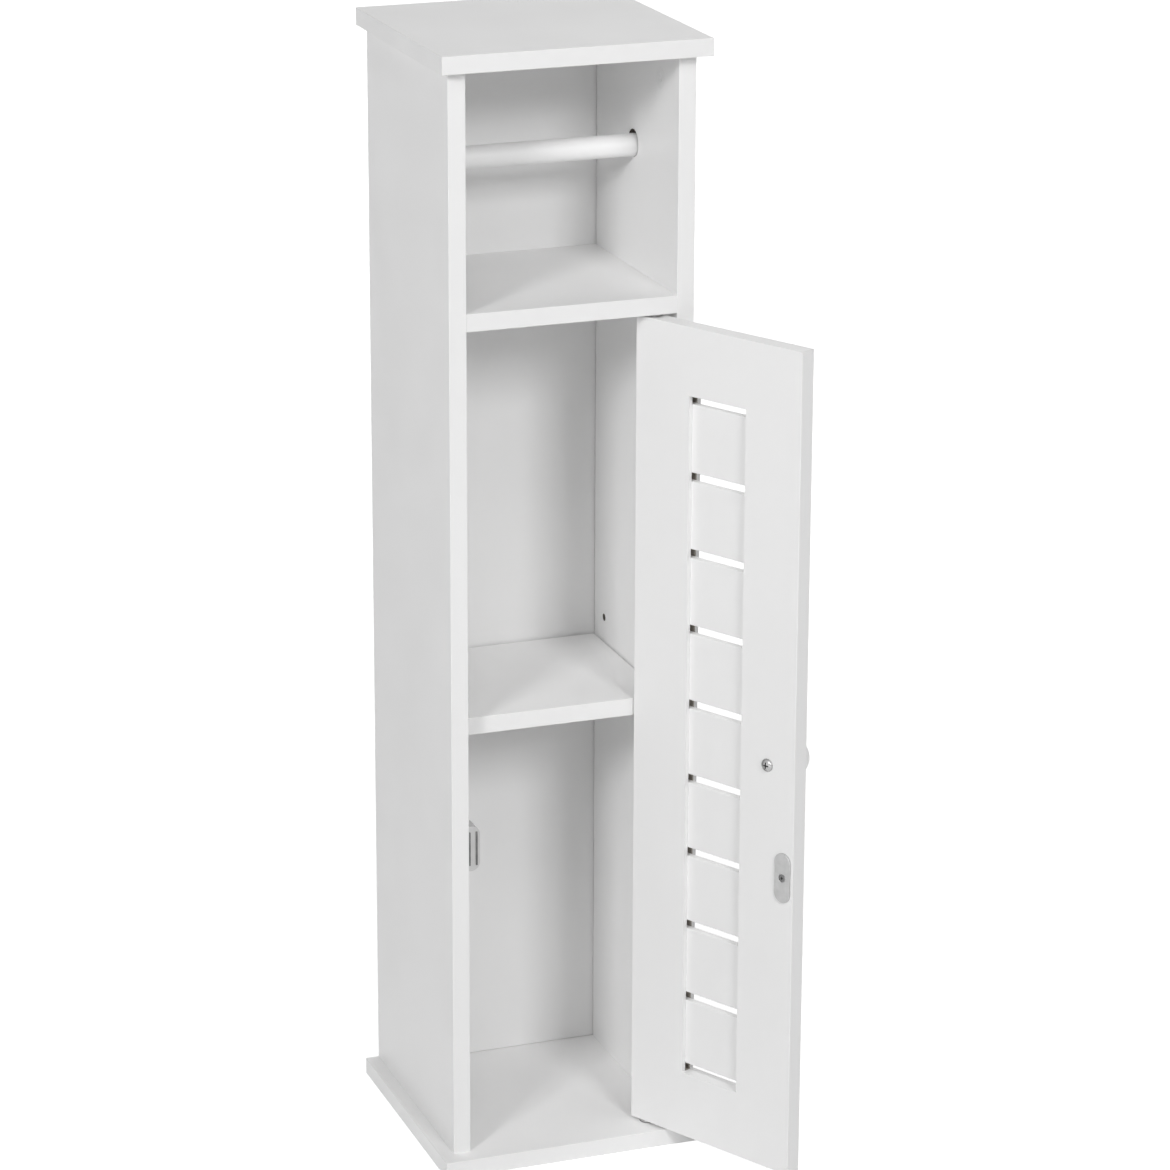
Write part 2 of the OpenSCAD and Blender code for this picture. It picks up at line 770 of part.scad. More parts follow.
module catch_body() {
    half = catch_h / 2;
    r = catch_r;
    color("whitesmoke") difference() {
        translate([-side_x, catch_y + catch_d, strike_z]) rotate([90, 0, 0])
            linear_extrude(catch_d) union() {
                translate([0, -half]) square([catch_w - r, catch_h]);
                translate([0, r - half]) square([catch_w, catch_h - 2 * r]);
                for (z = [-1, 1] * (half - r)) translate([catch_w - r, z]) circle(r);
            }
        block([-side_x - eps, catch_y + web_t, strike_z - pole_h / 2 - fit_play],
              [magnet_x + pocket_w / 2, catch_y + pole_deep, strike_z + pole_h / 2 + fit_play]);
        for (side = [-1, 1]) translate([magnet_x + side * pole_x, catch_y, strike_z])
            block([-pole_slot / 2, -eps, -pole_h / 2 - fit_play],
                  [pole_slot / 2, pole_deep, pole_h / 2 + fit_play]);
        at_catch_screws() {
            translate([0, 0, -eps])
                cylinder(d = catch_screw_d + 2 * fit_play, h = catch_w + 2 * eps);
            translate([0, 0, catch_w / 2])
                cylinder(d = catch_screw_head_d + 2 * end_room, h = catch_w);
        }
    }
}

module catch_magnet() {
    color("dimgray")
        block([magnet_x - magnet_t / 2, catch_y + web_t, strike_z - pole_h / 2],
              [magnet_x + magnet_t / 2, catch_y + pole_deep, strike_z + pole_h / 2]);
}

module catch_pole_plates() {
    color("gray") for (side = [-1, 1])
        translate([magnet_x + side * pole_x, catch_y - pole_out, strike_z])
            translate([-pole_t / 2, 0, -pole_h / 2])
                cube([pole_t, pole_deep + pole_out, pole_h]);
}

module catch_screws() {
    color("silver") at_catch_screws() translate([0, 0, catch_w / 2]) difference() {
        union() {
            translate([0, 0, -catch_w / 2 - catch_screw_l])
                cylinder(d = catch_screw_d, h = catch_w / 2 + catch_screw_l);
            cylinder(d = catch_screw_head_d, h = catch_screw_head_h);
        }
        translate([0, 0, catch_screw_head_h])
            cross_recess(catch_screw_head_d * recess_share,
                         catch_screw_head_h * recess_share);
    }
}

module shelf_pins() {
    color("silver") both_sides() for (y = pin_ys) {
        rod_x(pin_d, side_x - shelf_side_gap - pin_reach, side_x + pin_hole_deep - end_room, y, pin_z);
        rod_x(pin_collar_d, side_x - pin_collar_t, side_x, y, pin_z);
    }
}

module cam_locks() {
    color("darkgray") both_sides() at_right_cams() cam_lock();
}

module cam_caps() {
    color("white") both_sides() at_right_cams() cam_cap();
}

module cam_bolts() {
    color("silver") both_sides() {
        at_top_joints(cam_ys) cam_bolt();
        at_shelf_joints(cam_ys) cam_bolt();
    }
}

module carcass_dowels() {
    color("burlywood") both_sides() {
        at_top_joints([dowel_y]) dowel();
        at_shelf_joints([dowel_y]) dowel();
        at_base_joints([dowel_y]) dowel();
    }
}

module base_screws() {
    color("silver") both_sides() for (y = screw_ys)
        translate([side_x + mid_t, y, screw_sink]) rotate([180, 0, 0])
            sunk_screw(screw_d, screw_head_d, screw_l);
}

// The two pins that nail the back panel to the niche shelf, +Z to the rear
module at_nails() {
    for (x = [-1, 1] * nail_off)
        translate([x, panel_y + back_t, niche_z - mid_t]) rotate([-90, 0, 0]) children();
}

module back_panel_nails() {
    color("silver") at_nails() {
        translate([0, 0, -nail_l]) cylinder(d = nail_d, h = nail_l);
        cylinder(d = nail_head_d, h = nail_head_h);
    }
}

top_panel();
base_panel();
left_side();
right_side();
back_panel();
niche_shelf();
middle_shelf();
roll_bar();
door_hinge_stile();
door_latch_stile();
door_top_rail();
door_bottom_rail();
for (i = [1 : slat_count])
    door_slat(i);
door_dowels();
door_knob();
knob_screw();
strike_plate();
strike_screw();
upper_pivot_pin();
lower_pivot_pin();
upper_pivot_bush();
lower_pivot_bush();
pivot_washer();
catch_body();
catch_magnet();
catch_pole_plates();
catch_screws();
shelf_pins();
cam_locks();
cam_caps();
cam_bolts();
carcass_dowels();
base_screws();
back_panel_nails();
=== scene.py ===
# %% [markdown]
# # A slim cabinet for toilet rolls
# The real thing is a tall narrow box of white lacquered fibreboard. One roll hangs on a bar in the open
# niche at the top, and a slatted door closes the compartment below, which has one loose shelf for spare
# rolls. The CAD parts come in first and stay where they are. Every piece made here takes its place from
# them, so that the picture and the CAD agree to a fraction of a millimetre.

import json
import math

import bpy
from mathutils import Matrix, Quaternion, Vector

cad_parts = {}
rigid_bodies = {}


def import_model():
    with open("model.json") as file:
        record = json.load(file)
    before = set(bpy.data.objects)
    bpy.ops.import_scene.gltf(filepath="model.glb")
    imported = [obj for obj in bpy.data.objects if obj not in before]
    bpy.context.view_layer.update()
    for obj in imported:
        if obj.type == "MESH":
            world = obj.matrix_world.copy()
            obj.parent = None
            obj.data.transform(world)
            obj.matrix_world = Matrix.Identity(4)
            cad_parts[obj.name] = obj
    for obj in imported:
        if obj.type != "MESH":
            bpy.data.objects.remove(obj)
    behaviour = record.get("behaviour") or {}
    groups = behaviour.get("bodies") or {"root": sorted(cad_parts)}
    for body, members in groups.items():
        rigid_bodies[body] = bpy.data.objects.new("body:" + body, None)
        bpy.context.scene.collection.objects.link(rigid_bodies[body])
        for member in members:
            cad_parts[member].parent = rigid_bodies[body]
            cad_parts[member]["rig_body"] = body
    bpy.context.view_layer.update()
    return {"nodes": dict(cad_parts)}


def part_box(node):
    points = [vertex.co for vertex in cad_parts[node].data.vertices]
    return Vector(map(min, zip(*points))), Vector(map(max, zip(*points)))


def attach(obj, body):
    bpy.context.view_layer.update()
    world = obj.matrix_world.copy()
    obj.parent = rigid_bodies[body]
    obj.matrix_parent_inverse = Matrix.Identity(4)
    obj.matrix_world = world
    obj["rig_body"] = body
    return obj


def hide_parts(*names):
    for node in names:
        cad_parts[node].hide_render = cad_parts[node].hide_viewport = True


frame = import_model()
nodes = frame["nodes"]
MM = 0.001

# %% [markdown]
# ## Camera
# The photograph was taken with a long lens, from above and to the left. Its corners and edges were measured
# in pixels, and the camera that draws the CAD corners in the same places was solved from them. Blender's
# lens is that camera's focal length on a 36 mm sensor. The two shifts move the frame without turning the
# camera, because the photograph was cropped to one side.

# %% Camera that matches the photograph
PHOTO_SIDE = 1170
SENSOR = 36
focal_px = 4263.93
middle_px = Vector((516.056, 473.839))
azimuth, elevation, roll = (math.radians(a) for a in (-19.423, 16.785, -0.083))
backwards = Vector(
    (math.sin(azimuth) * math.cos(elevation), -math.cos(azimuth) * math.cos(elevation), math.sin(elevation))
)
bpy.ops.object.camera_add(location=(-0.928276, -2.599770, 1.299684))
camera = bpy.context.object
camera.name = "studio_camera"
camera.rotation_mode = "QUATERNION"
camera.rotation_quaternion = (-backwards).to_track_quat("-Z", "Y") @ Quaternion((0, 0, 1), roll)
camera.data.sensor_width = SENSOR
camera.data.lens = SENSOR * focal_px / PHOTO_SIDE
camera.data.shift_x = 0.5 - middle_px.x / PHOTO_SIDE
camera.data.shift_y = middle_px.y / PHOTO_SIDE - 0.5
bpy.context.scene.camera = camera
print("Lens, mm:", round(camera.data.lens, 1))

# %% [markdown]
# ## Studio
# The shadows in the photograph show two main soft boxes. The key stands to the left, and the left side
# throws its shadow slantwise across each shelf. The front one stands almost straight before the cabinet,
# and the top panel and the bar throw its shadow down the niche. Two weaker ones, high in front and behind
# on the right, lift the tops and the outer face of the open door. The rest is light from pale walls, which
# is the world here. A picture of a studio wrapped round the scene would light it too, but lamps with a size
# and a place give shadows that can be set against the photograph's. The white background is only what the
# camera, glossy and see-through rays meet, so it adds no light to the object.

# %% Small helper for nodes
def add_node(tree, kind, inputs=None, **settings):
    """Adds one node, sets its own settings, and fills or links its inputs."""
    made = tree.nodes.new(kind)
    for name, value in settings.items():
        setattr(made, name, value)
    for name, value in (inputs or {}).items():
        if isinstance(value, bpy.types.NodeSocket):
            tree.links.new(value, made.inputs[name])
        else:
            made.inputs[name].default_value = value
    return made


def maths(tree, operation, first, second):
    """One step of arithmetic on two values or outputs."""
    return add_node(tree, "ShaderNodeMath", {0: first, 1: second}, operation=operation).outputs[0]


def seen_directly(tree):
    """1 for a ray from the camera, a mirror or a clear body, 0 for the light that falls on things."""
    path = add_node(tree, "ShaderNodeLightPath").outputs
    either = maths(tree, "MAXIMUM", path["Is Camera Ray"], path["Is Glossy Ray"])
    return maths(tree, "MAXIMUM", either, path["Is Transmission Ray"])


print("Node helpers ready")

# %% Walls, as the world
WALL_LEVEL = 0.15
scene = bpy.context.scene
scene.view_settings.view_transform = "Standard"
world = bpy.data.worlds.new("studio_walls")
scene.world = world
world.use_nodes = True
world.node_tree.nodes.clear()
walls = world.node_tree
lit = add_node(walls, "ShaderNodeBackground", {"Color": (1, 1, 1, 1), "Strength": WALL_LEVEL})
white = add_node(walls, "ShaderNodeBackground", {"Color": (1, 1, 1, 1), "Strength": 1.0})
chosen = add_node(
    walls, "ShaderNodeMixShader", {0: seen_directly(walls), 1: lit.outputs[0], 2: white.outputs[0]}
)
add_node(walls, "ShaderNodeOutputWorld", {"Surface": chosen.outputs[0]})
print("Wall level:", WALL_LEVEL)

# %% Soft boxes
AIM = Vector((0.0, 0.0, 0.40))
AWAY = 4.5
SOFT_BOXES = {
    "key_box": {"azimuth": -48, "elevation": 27, "size": 0.9, "level": 0.355},
    "front_box": {"azimuth": 6, "elevation": 28, "size": 1.0, "level": 0.30},
    "high_box": {"azimuth": -20, "elevation": 50, "size": 1.0, "level": 0.095},
    "back_box": {"azimuth": 135, "elevation": 35, "size": 2.5, "level": 0.21},
}


def soft_box(name, azimuth, elevation, size, level):
    """A square lamp aimed at the cabinet. At level 1 a white face turned to it renders as white."""
    turn, rise = math.radians(azimuth), math.radians(elevation)
    direction = Vector((math.sin(turn) * math.cos(rise), -math.cos(turn) * math.cos(rise), math.sin(rise)))
    bpy.ops.object.light_add(type="AREA", location=AIM + direction * AWAY)
    lamp = bpy.context.object
    lamp.name = name
    lamp.rotation_mode = "QUATERNION"
    lamp.rotation_quaternion = (-direction).to_track_quat("-Z", "Y")
    lamp.data.shape = "SQUARE"
    lamp.data.size = size
    lamp.data.energy = level * math.pi**2 * AWAY**2
    return lamp


for box_name, box in SOFT_BOXES.items():
    made_lamp = soft_box(box_name, **box)
    print(box_name, "watts:", round(made_lamp.data.energy, 1))

# %% [markdown]
# ## Floor
# The floor is one large plane under the base, with a pale diffuse paint. Brighter lamps would turn it
# white, but the cabinet with it. So for the rays that see it directly a glow is added, which makes it white
# where nothing shades it. The glow grows with the distance, because the lamps hardly reach the far floor.
# Near the cabinet it stays well below white, so the cabinet's shadow stays too.

# %% Floor
NEAR_GLOW = 0.66
FAR_GLOW = 0.95
bpy.ops.object.select_all(action="DESELECT")
bpy.ops.mesh.primitive_plane_add(size=24, location=(0, 0, 0))
floor = bpy.context.object
floor.name = "studio_floor"
floor_paint = bpy.data.materials.new("floor_paint")
floor_paint.use_nodes = True
floor_tree = floor_paint.node_tree
floor_tree.nodes.clear()
dull = add_node(floor_tree, "ShaderNodeBsdfDiffuse", {"Color": (0.90, 0.90, 0.90, 1)})
floor_at = add_node(floor_tree, "ShaderNodeTexCoord").outputs["Object"]
how_far = add_node(floor_tree, "ShaderNodeVectorMath", {0: floor_at}, operation="LENGTH").outputs["Value"]
grown = add_node(
    floor_tree,
    "ShaderNodeMapRange",
    {"Value": how_far, "From Min": 0.5, "From Max": 3.0, "To Min": NEAR_GLOW, "To Max": FAR_GLOW},
)
glow_level = maths(floor_tree, "MULTIPLY", seen_directly(floor_tree), grown.outputs[0])
glow = add_node(floor_tree, "ShaderNodeEmission", {"Color": (1, 1, 1, 1), "Strength": glow_level})
both = add_node(floor_tree, "ShaderNodeAddShader", {0: dull.outputs[0], 1: glow.outputs[0]})
add_node(floor_tree, "ShaderNodeOutputMaterial", {"Surface": both.outputs[0]})
floor.data.materials.append(floor_paint)
print("Floor side, m:", round(floor.dimensions.x, 1))

# %% [markdown]
# ## Effects that several finishes share
# Paint, steel, plastic and wood differ in colour and gloss, but they vary in the same few ways: soft
# patches, rubbed edges, settled dust, and lines along one direction. The nodes could be drawn anew in each
# material. Here each way is a node group with its own inputs, built once and placed in a material with that
# material's values.

# %% Making a node group
def start_group(name, takes, gives):
    """A shader node group that gives one number. It takes numbers and vectors, each with its value."""
    group = bpy.data.node_groups.new(name, "ShaderNodeTree")
    for socket, value in takes.items():
        kind = "NodeSocketFloat" if isinstance(value, float) else "NodeSocketVector"
        made = group.interface.new_socket(name=socket, in_out="INPUT", socket_type=kind)
        if value is not None:
            made.default_value = value
    group.interface.new_socket(name=gives, in_out="OUTPUT", socket_type="NodeSocketFloat")
    return group, group.nodes.new("NodeGroupInput").outputs, group.nodes.new("NodeGroupOutput").inputs


def use_group(tree, group, **inputs):
    """Places a group in a material, its inputs given by name, and returns its outputs."""
    return add_node(tree, "ShaderNodeGroup", inputs, node_tree=group).outputs


print("Group helpers ready")

# %% Soft patches
patches, taken, given = start_group(
    "soft_patches", {"Vector": None, "Scale": 10.0, "Low": 0.0, "High": 1.0}, "Value"
)
noise = add_node(
    patches, "ShaderNodeTexNoise", {"Vector": taken["Vector"], "Scale": taken["Scale"], "Detail": 3.0}
)
ends = {"From Min": 0.3, "From Max": 0.7, "To Min": taken["Low"], "To Max": taken["High"]}
spread = add_node(patches, "ShaderNodeMapRange", {"Value": noise.outputs[0], **ends})
patches.links.new(spread.outputs[0], given["Value"])
print("Group:", patches.name)

# %% Rubbed edges
rubbed, taken, given = start_group(
    "rubbed_edges", {"Edge": 0.0, "Vector": None, "Scale": 60.0, "Amount": 0.5}, "Mask"
)
where = use_group(rubbed, patches, Vector=taken["Vector"], Scale=taken["Scale"], Low=0.0, High=1.0)
on_edge = maths(rubbed, "MULTIPLY", where["Value"], taken["Edge"])
rubbed.links.new(maths(rubbed, "MULTIPLY", on_edge, taken["Amount"]), given["Mask"])
print("Group:", rubbed.name)

# %% Settled dust
dusty, taken, given = start_group(
    "settled_dust", {"Normal": None, "Vector": None, "Scale": 18.0, "Amount": 0.3}, "Mask"
)
upward = add_node(dusty, "ShaderNodeSeparateXYZ", {0: taken["Normal"]})
facing_up = add_node(
    dusty, "ShaderNodeMapRange", {"Value": upward.outputs["Z"], "From Min": 0.6, "From Max": 1.0}
)
clouds = use_group(dusty, patches, Vector=taken["Vector"], Scale=taken["Scale"], Low=0.2, High=1.0)
lies = maths(dusty, "MULTIPLY", facing_up.outputs[0], clouds["Value"])
dusty.links.new(maths(dusty, "MULTIPLY", lies, taken["Amount"]), given["Mask"])
print("Group:", dusty.name)

# %% Lines along one direction
lines, taken, given = start_group(
    "fine_lines",
    {"Vector": None, "Stretch": (1.0, 1.0, 0.03), "Scale": 2500.0, "Low": 0.0, "High": 1.0},
    "Value",
)
pulled = add_node(
    lines, "ShaderNodeVectorMath", {0: taken["Vector"], 1: taken["Stretch"]}, operation="MULTIPLY"
)
streaks = use_group(
    lines, patches, Vector=pulled.outputs[0], Scale=taken["Scale"], Low=taken["Low"], High=taken["High"]
)
lines.links.new(streaks["Value"], given["Value"])
print("Group:", lines.name)

# %% [markdown]
# ## White lacquer
# The boards are sprayed with a satin white lacquer. Sprayed lacquer isn't perfectly flat: it has a faint
# orange peel about a millimetre wide, its gloss drifts a little, and on the rounded edges the film is
# thinner and gets rubbed first. One function makes this paint, and each kind of part gets its own values:
# the door and boards are smooth, the thin back board shows some of its fibres, and the knob is glossier.
# The faces turned to the front get a greyer copy of the paint, and the door, the slats and the bar a slightly
# darker one: painted shade that tones down the faces the lamps light most.

# %% Helpers for finishes
BUMP_HEIGHT = 0.1 * MM


def surface(name, metallic=0.0):
    """A new material with one Principled shader, and the coordinates that its patterns read."""
    made = bpy.data.materials.new(name)
    made.use_nodes = True
    tree = made.node_tree
    shader = next(n for n in tree.nodes if n.type == "BSDF_PRINCIPLED")
    shader.inputs["Metallic"].default_value = metallic
    coordinates = add_node(tree, "ShaderNodeTexCoord").outputs
    return made, tree, shader, coordinates


def patchy(tree, at, scale, low=0.0, high=1.0):
    """Soft patches of a value from low to high."""
    return use_group(tree, patches, Vector=at["Object"], Scale=scale, Low=low, High=high)[0]


def lined(tree, at, stretch, scale, low=0.0, high=1.0):
    """Fine lines of a value from low to high."""
    return use_group(tree, lines, Vector=at["Object"], Stretch=stretch, Scale=scale, Low=low, High=high)[0]


def worn_edges(tree, at, scale, amount):
    """Where a rounded edge is rubbed, read from the attribute that marks the edges."""
    edge = add_node(tree, "ShaderNodeAttribute", attribute_name="edge").outputs["Fac"]
    return use_group(tree, rubbed, Edge=edge, Vector=at["Object"], Scale=scale, Amount=amount)[0]


def lying_dust(tree, at, scale, amount):
    """Where dust has settled on the faces that look up."""
    return use_group(tree, dusty, Normal=at["Normal"], Vector=at["Object"], Scale=scale, Amount=amount)[0]


def connect(tree, shader, colour, roughness, height, strength=1.0):
    """Feeds the shader a colour, a roughness, and a height that bends its normal."""
    bump = add_node(tree, "ShaderNodeBump", {"Height": height, "Strength": strength, "Distance": BUMP_HEIGHT})
    for output, name in ((colour, "Base Color"), (roughness, "Roughness"), (bump.outputs[0], "Normal")):
        tree.links.new(output, shader.inputs[name])


def blend_colour(tree, share, first, second):
    """Mixes two colours by a share. Mix has sockets of each kind, and 6, 7 and 2 are its colour ones."""
    return add_node(tree, "ShaderNodeMix", {0: share, 6: first, 7: second}, data_type="RGBA").outputs[2]


def grey(level, warm=0.0):
    """A pale colour, slightly warm if asked."""
    return (level, level * (1 - warm / 2), level * (1 - warm), 1)


print("Finish helpers ready")

# %% Lacquer
DUST = grey(0.62, 0.06)
BARE_BOARD = (0.60, 0.50, 0.38, 1)


def lacquer(name, white_level, gloss, peel, peel_scale=900.0, fibre=0.0):
    """Sprayed white lacquer. gloss is (low, high) roughness, peel and fibre are bump heights."""
    made, tree, shader, at = surface(name)
    dull_white, clear_white = grey(white_level * 0.982, 0.004), grey(white_level, 0.001)
    paint = blend_colour(tree, patchy(tree, at, 5.0), dull_white, clear_white)
    paint = blend_colour(tree, worn_edges(tree, at, 45.0, 0.10), paint, BARE_BOARD)
    dust = lying_dust(tree, at, 14.0, 0.07)
    paint = blend_colour(tree, dust, paint, DUST)
    rough = maths(tree, "ADD", patchy(tree, at, 30.0, *gloss), dust)
    skin = patchy(tree, at, peel_scale, high=peel)
    hairs = lined(tree, at, (1, 1, 0.25), 2200.0, high=fibre)
    connect(tree, shader, paint, rough, maths(tree, "ADD", skin, hairs))
    return made


board_lacquer = lacquer("white_lacquer", 0.93, (0.36, 0.46), peel=0.10)
# A greyer copy for the faces turned to the front and the stiles' inner edges: painted shade that tones down
# the faces the lamps light most.
side_shade_lacquer = lacquer("side_shade_lacquer", 0.845, (0.38, 0.48), peel=0.12)
# The door, the slats and the bar get slightly darker copies of the white: painted shade on their brightly lit
# faces.
door_lacquer = lacquer("door_lacquer", 0.905, (0.36, 0.46), peel=0.10)
slat_lacquer = lacquer("slat_lacquer", 0.905, (0.38, 0.48), peel=0.12)
back_lacquer = lacquer("back_board_lacquer", 0.91, (0.50, 0.62), peel=0.12, peel_scale=600.0, fibre=0.12)
bar_lacquer = lacquer("bar_lacquer", 0.90, (0.38, 0.46), peel=0.08, peel_scale=700.0)
knob_lacquer = lacquer("knob_lacquer", 0.92, (0.28, 0.36), peel=0.08)
print("Lacquers:", [m.name for m in bpy.data.materials if "lacquer" in m.name])

# %% [markdown]
# ## Metals, plastics and bare wood
# The fittings are cheap and real: zinc on the screws, bright steel pins, brushed nickel on the strike plate,
# a dark coat on the pole plates of the catch, and die-cast zinc for the cam locks. Metal takes its look from
# what it reflects, so its colour hardly varies, and the roughness carries the fine lines. The plastics are
# moulded, with a fine even texture. The dowels are beech with fine lines along the grain.

# %% Metals
RUBBED_METAL = grey(0.78)


def plated(name, colour, dark, rough, stretch, scale=1800.0, height=0.10):
    """Plated steel or zinc with lines along one direction, brighter where its edges are rubbed."""
    made, tree, shader, at = surface(name, metallic=1.0)
    tone = blend_colour(tree, patchy(tree, at, 180.0), dark, colour)
    tone = blend_colour(tree, worn_edges(tree, at, 400.0, 0.5), tone, RUBBED_METAL)
    scratches = lined(tree, at, stretch, scale, high=height)
    connect(tree, shader, tone, lined(tree, at, stretch, scale, *rough), scratches)
    return made


screw_steel = plated("screw_steel", grey(0.44), grey(0.36), (0.22, 0.38), (1, 1, 1), scale=900.0)
dark_steel = plated("dark_screw_steel", grey(0.20), grey(0.14), (0.20, 0.30), (1, 1, 1), scale=900.0)
strike_steel = plated("strike_steel", grey(0.46), grey(0.40), (0.28, 0.42), (1, 1, 0.03))
pin_steel = plated("pin_steel", grey(0.66), grey(0.56), (0.18, 0.30), (1, 1, 0.05))
# The dark pole steel is the real coat of the catch's pole plates, and also painted shade on the walls of
# every cross recess.
pole_steel = plated("pole_steel", grey(0.20), grey(0.12), (0.40, 0.55), (1, 1, 0.2))
cam_zinc = plated("cam_zinc", grey(0.58), grey(0.44), (0.38, 0.55), (1, 1, 1), scale=1400.0, height=0.3)
print("Metals:", [m.name for m in (screw_steel, dark_steel, strike_steel, pin_steel, pole_steel, cam_zinc)])

# %% Plastics, ferrite and beech
def moulded(name, colour, second, rough, scale, height):
    """A moulded or sintered body with an even fine texture."""
    made, tree, shader, at = surface(name)
    tone = blend_colour(tree, patchy(tree, at, 90.0), colour, second)
    tone = blend_colour(tree, lying_dust(tree, at, 60.0, 0.10), tone, DUST)
    connect(tree, shader, tone, patchy(tree, at, 250.0, *rough), patchy(tree, at, scale, high=height))
    return made


def beech(name):
    """Bare beech with its grain along X."""
    made, tree, shader, at = surface(name)
    grain = lined(tree, at, (0.15, 1, 1), 700.0)
    tone = blend_colour(tree, grain, (0.50, 0.33, 0.17, 1), (0.64, 0.46, 0.27, 1))
    connect(tree, shader, tone, patchy(tree, at, 200.0, 0.60, 0.75), grain, strength=0.5)
    return made


catch_plastic = moulded("catch_plastic", grey(0.64, 0.01), grey(0.68), (0.38, 0.48), 2500.0, 0.25)
cap_plastic = moulded("cap_plastic", grey(0.88), grey(0.91), (0.32, 0.42), 2500.0, 0.15)
bush_nylon = moulded("bush_nylon", grey(0.26, 0.02), grey(0.22, 0.02), (0.40, 0.50), 2000.0, 0.2)
ferrite = moulded("magnet_ferrite", grey(0.05), grey(0.08), (0.55, 0.70), 3500.0, 0.4)
# The walls of holes, sinks and grooves: bare fibreboard, painted far darker than its real colour (BARE_BOARD)
# as the shade deep in a bore.
shaded_bare_board = moulded(
    "shaded_bare_fibreboard", (0.14, 0.123, 0.105, 1), (0.10, 0.088, 0.076, 1), (0.8, 0.95), 900.0, 0.8
)
# The walls of the slat grooves in the door: grey fibreboard, partly the board's own colour and partly painted
# shade of the deep groove.
shaded_groove_board = moulded(
    "shaded_groove_fibreboard", (0.42, 0.385, 0.345, 1), (0.34, 0.31, 0.28, 1), (0.8, 0.95), 900.0, 0.8
)
plain_beech = beech("plain_beech")
print("Finishes in all:", len(bpy.data.materials))

# %% [markdown]
# ## Working by hand, in code
# A board starts as a cube at its size and place. Its edges are picked by where they lie and rounded with a
# bevel, because real lacquered edges are never sharp: they catch the light as a thin line. Holes and
# grooves are made as in the workshop, with a cutter that has the shape of the drill or router bit. The
# rounded edges are remembered in an attribute before any hole is cut, so that the paint can wear there and
# nowhere else.

# %% Picking and placing
def pick(piece):
    """Makes one piece the active one, with nothing else selected."""
    bpy.ops.object.select_all(action="DESELECT")
    piece.select_set(True)
    bpy.context.view_layer.objects.active = piece


def settle(piece, place=None):
    """Moves a piece by a matrix if asked, then puts its place in its mesh, its object at the origin."""
    if place is not None:
        piece.matrix_world = place @ piece.matrix_world
    pick(piece)
    bpy.ops.object.transform_apply(location=True, rotation=True, scale=True)
    return piece


def start_box(name, low, high):
    """A cube at the size and place that two corners give."""
    bpy.ops.object.select_all(action="DESELECT")
    bpy.ops.mesh.primitive_cube_add(
        size=1,
        location=[(a + b) / 2 for a, b in zip(low, high)],
        scale=[b - a for a, b in zip(low, high)],
    )
    piece = bpy.context.object
    piece.name = name
    return settle(piece)


def node_box(node, finish="lacquered"):
    """A cube at the size and place of a CAD node, named for the node and its finish."""
    return start_box(f"{node}_{finish}", *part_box(node))


def facing(point, direction):
    """The matrix that puts a shape drawn along +Z at a point, facing a direction."""
    turn = Vector(direction).to_track_quat("Z", "Y").to_matrix().to_4x4()
    return Matrix.Translation(Vector(point)) @ turn


print("Placing helpers ready")

# %% Rounding edges
def choose(piece, kind, wanted):
    """Enters edit mode with only those edges selected for which wanted(end, other end) is true.
    With VERT as the kind, it selects the points for which wanted(point) is true."""
    pick(piece)
    bpy.ops.object.mode_set(mode="EDIT")
    bpy.ops.mesh.select_mode(type=kind)
    bpy.ops.mesh.select_all(action="DESELECT")
    bpy.ops.object.mode_set(mode="OBJECT")
    points = piece.data.vertices
    if kind == "EDGE":
        for edge in piece.data.edges:
            edge.select = wanted(*(points[i].co for i in edge.vertices))
    else:
        for point in points:
            point.select = wanted(point.co)
    bpy.ops.object.mode_set(mode="EDIT")


def round_edges(piece, radius, wanted=lambda a, b: True, steps=4):
    """Bevels the wanted edges, or all of them."""
    choose(piece, "EDGE", wanted)
    bpy.ops.mesh.bevel(offset=radius, segments=steps, profile=0.5, affect="EDGES")
    bpy.ops.object.mode_set(mode="OBJECT")
    return piece


def near(value, target):
    """A test for a coordinate."""
    return abs(value - target) < 0.05 * MM


def along(axis):
    """A test for edges that run along one axis, 0 for x, 1 for y, 2 for z."""
    return lambda a, b: max(abs(a[i] - b[i]) for i in range(3) if i != axis) < 0.01 * MM


def mark_edges(piece, broad):
    """Stores 1 on each vertex that touches no face broader than broad square metres, and 0 elsewhere."""
    mesh = piece.data
    value = [1.0] * len(mesh.vertices)
    for face in mesh.polygons:
        if face.area > broad:
            for i in face.vertices:
                value[i] = 0.0
    mesh.attributes.new("edge", "FLOAT", "POINT").data.foreach_set("value", value)


print("Edge helpers ready")

# %% Turning on the lathe
def turned(name, outline, steps=48):
    """Spins an outline of (radius, height) points round +Z, as on a lathe. It starts as one vertex."""
    bpy.ops.object.select_all(action="DESELECT")
    bpy.ops.mesh.primitive_plane_add(size=MM)
    piece = bpy.context.object
    piece.name = name
    bpy.ops.object.mode_set(mode="EDIT")
    bpy.ops.mesh.select_mode(type="VERT")
    bpy.ops.mesh.select_all(action="SELECT")
    bpy.ops.mesh.merge(type="CENTER")
    bpy.ops.transform.translate(value=(outline[0][0], 0, outline[0][1]))
    for (r0, h0), (r1, h1) in zip(outline, outline[1:]):
        bpy.ops.mesh.extrude_region_move(TRANSFORM_OT_translate={"value": (r1 - r0, 0, h1 - h0)})
    bpy.ops.mesh.select_all(action="SELECT")
    bpy.ops.mesh.spin(steps=steps, angle=2 * math.pi, center=(0, 0, 0), axis=(0, 0, 1))
    bpy.ops.mesh.select_all(action="SELECT")
    bpy.ops.mesh.remove_doubles(threshold=0.001 * MM)
    bpy.ops.mesh.normals_make_consistent(inside=False)
    bpy.ops.object.mode_set(mode="OBJECT")
    return piece


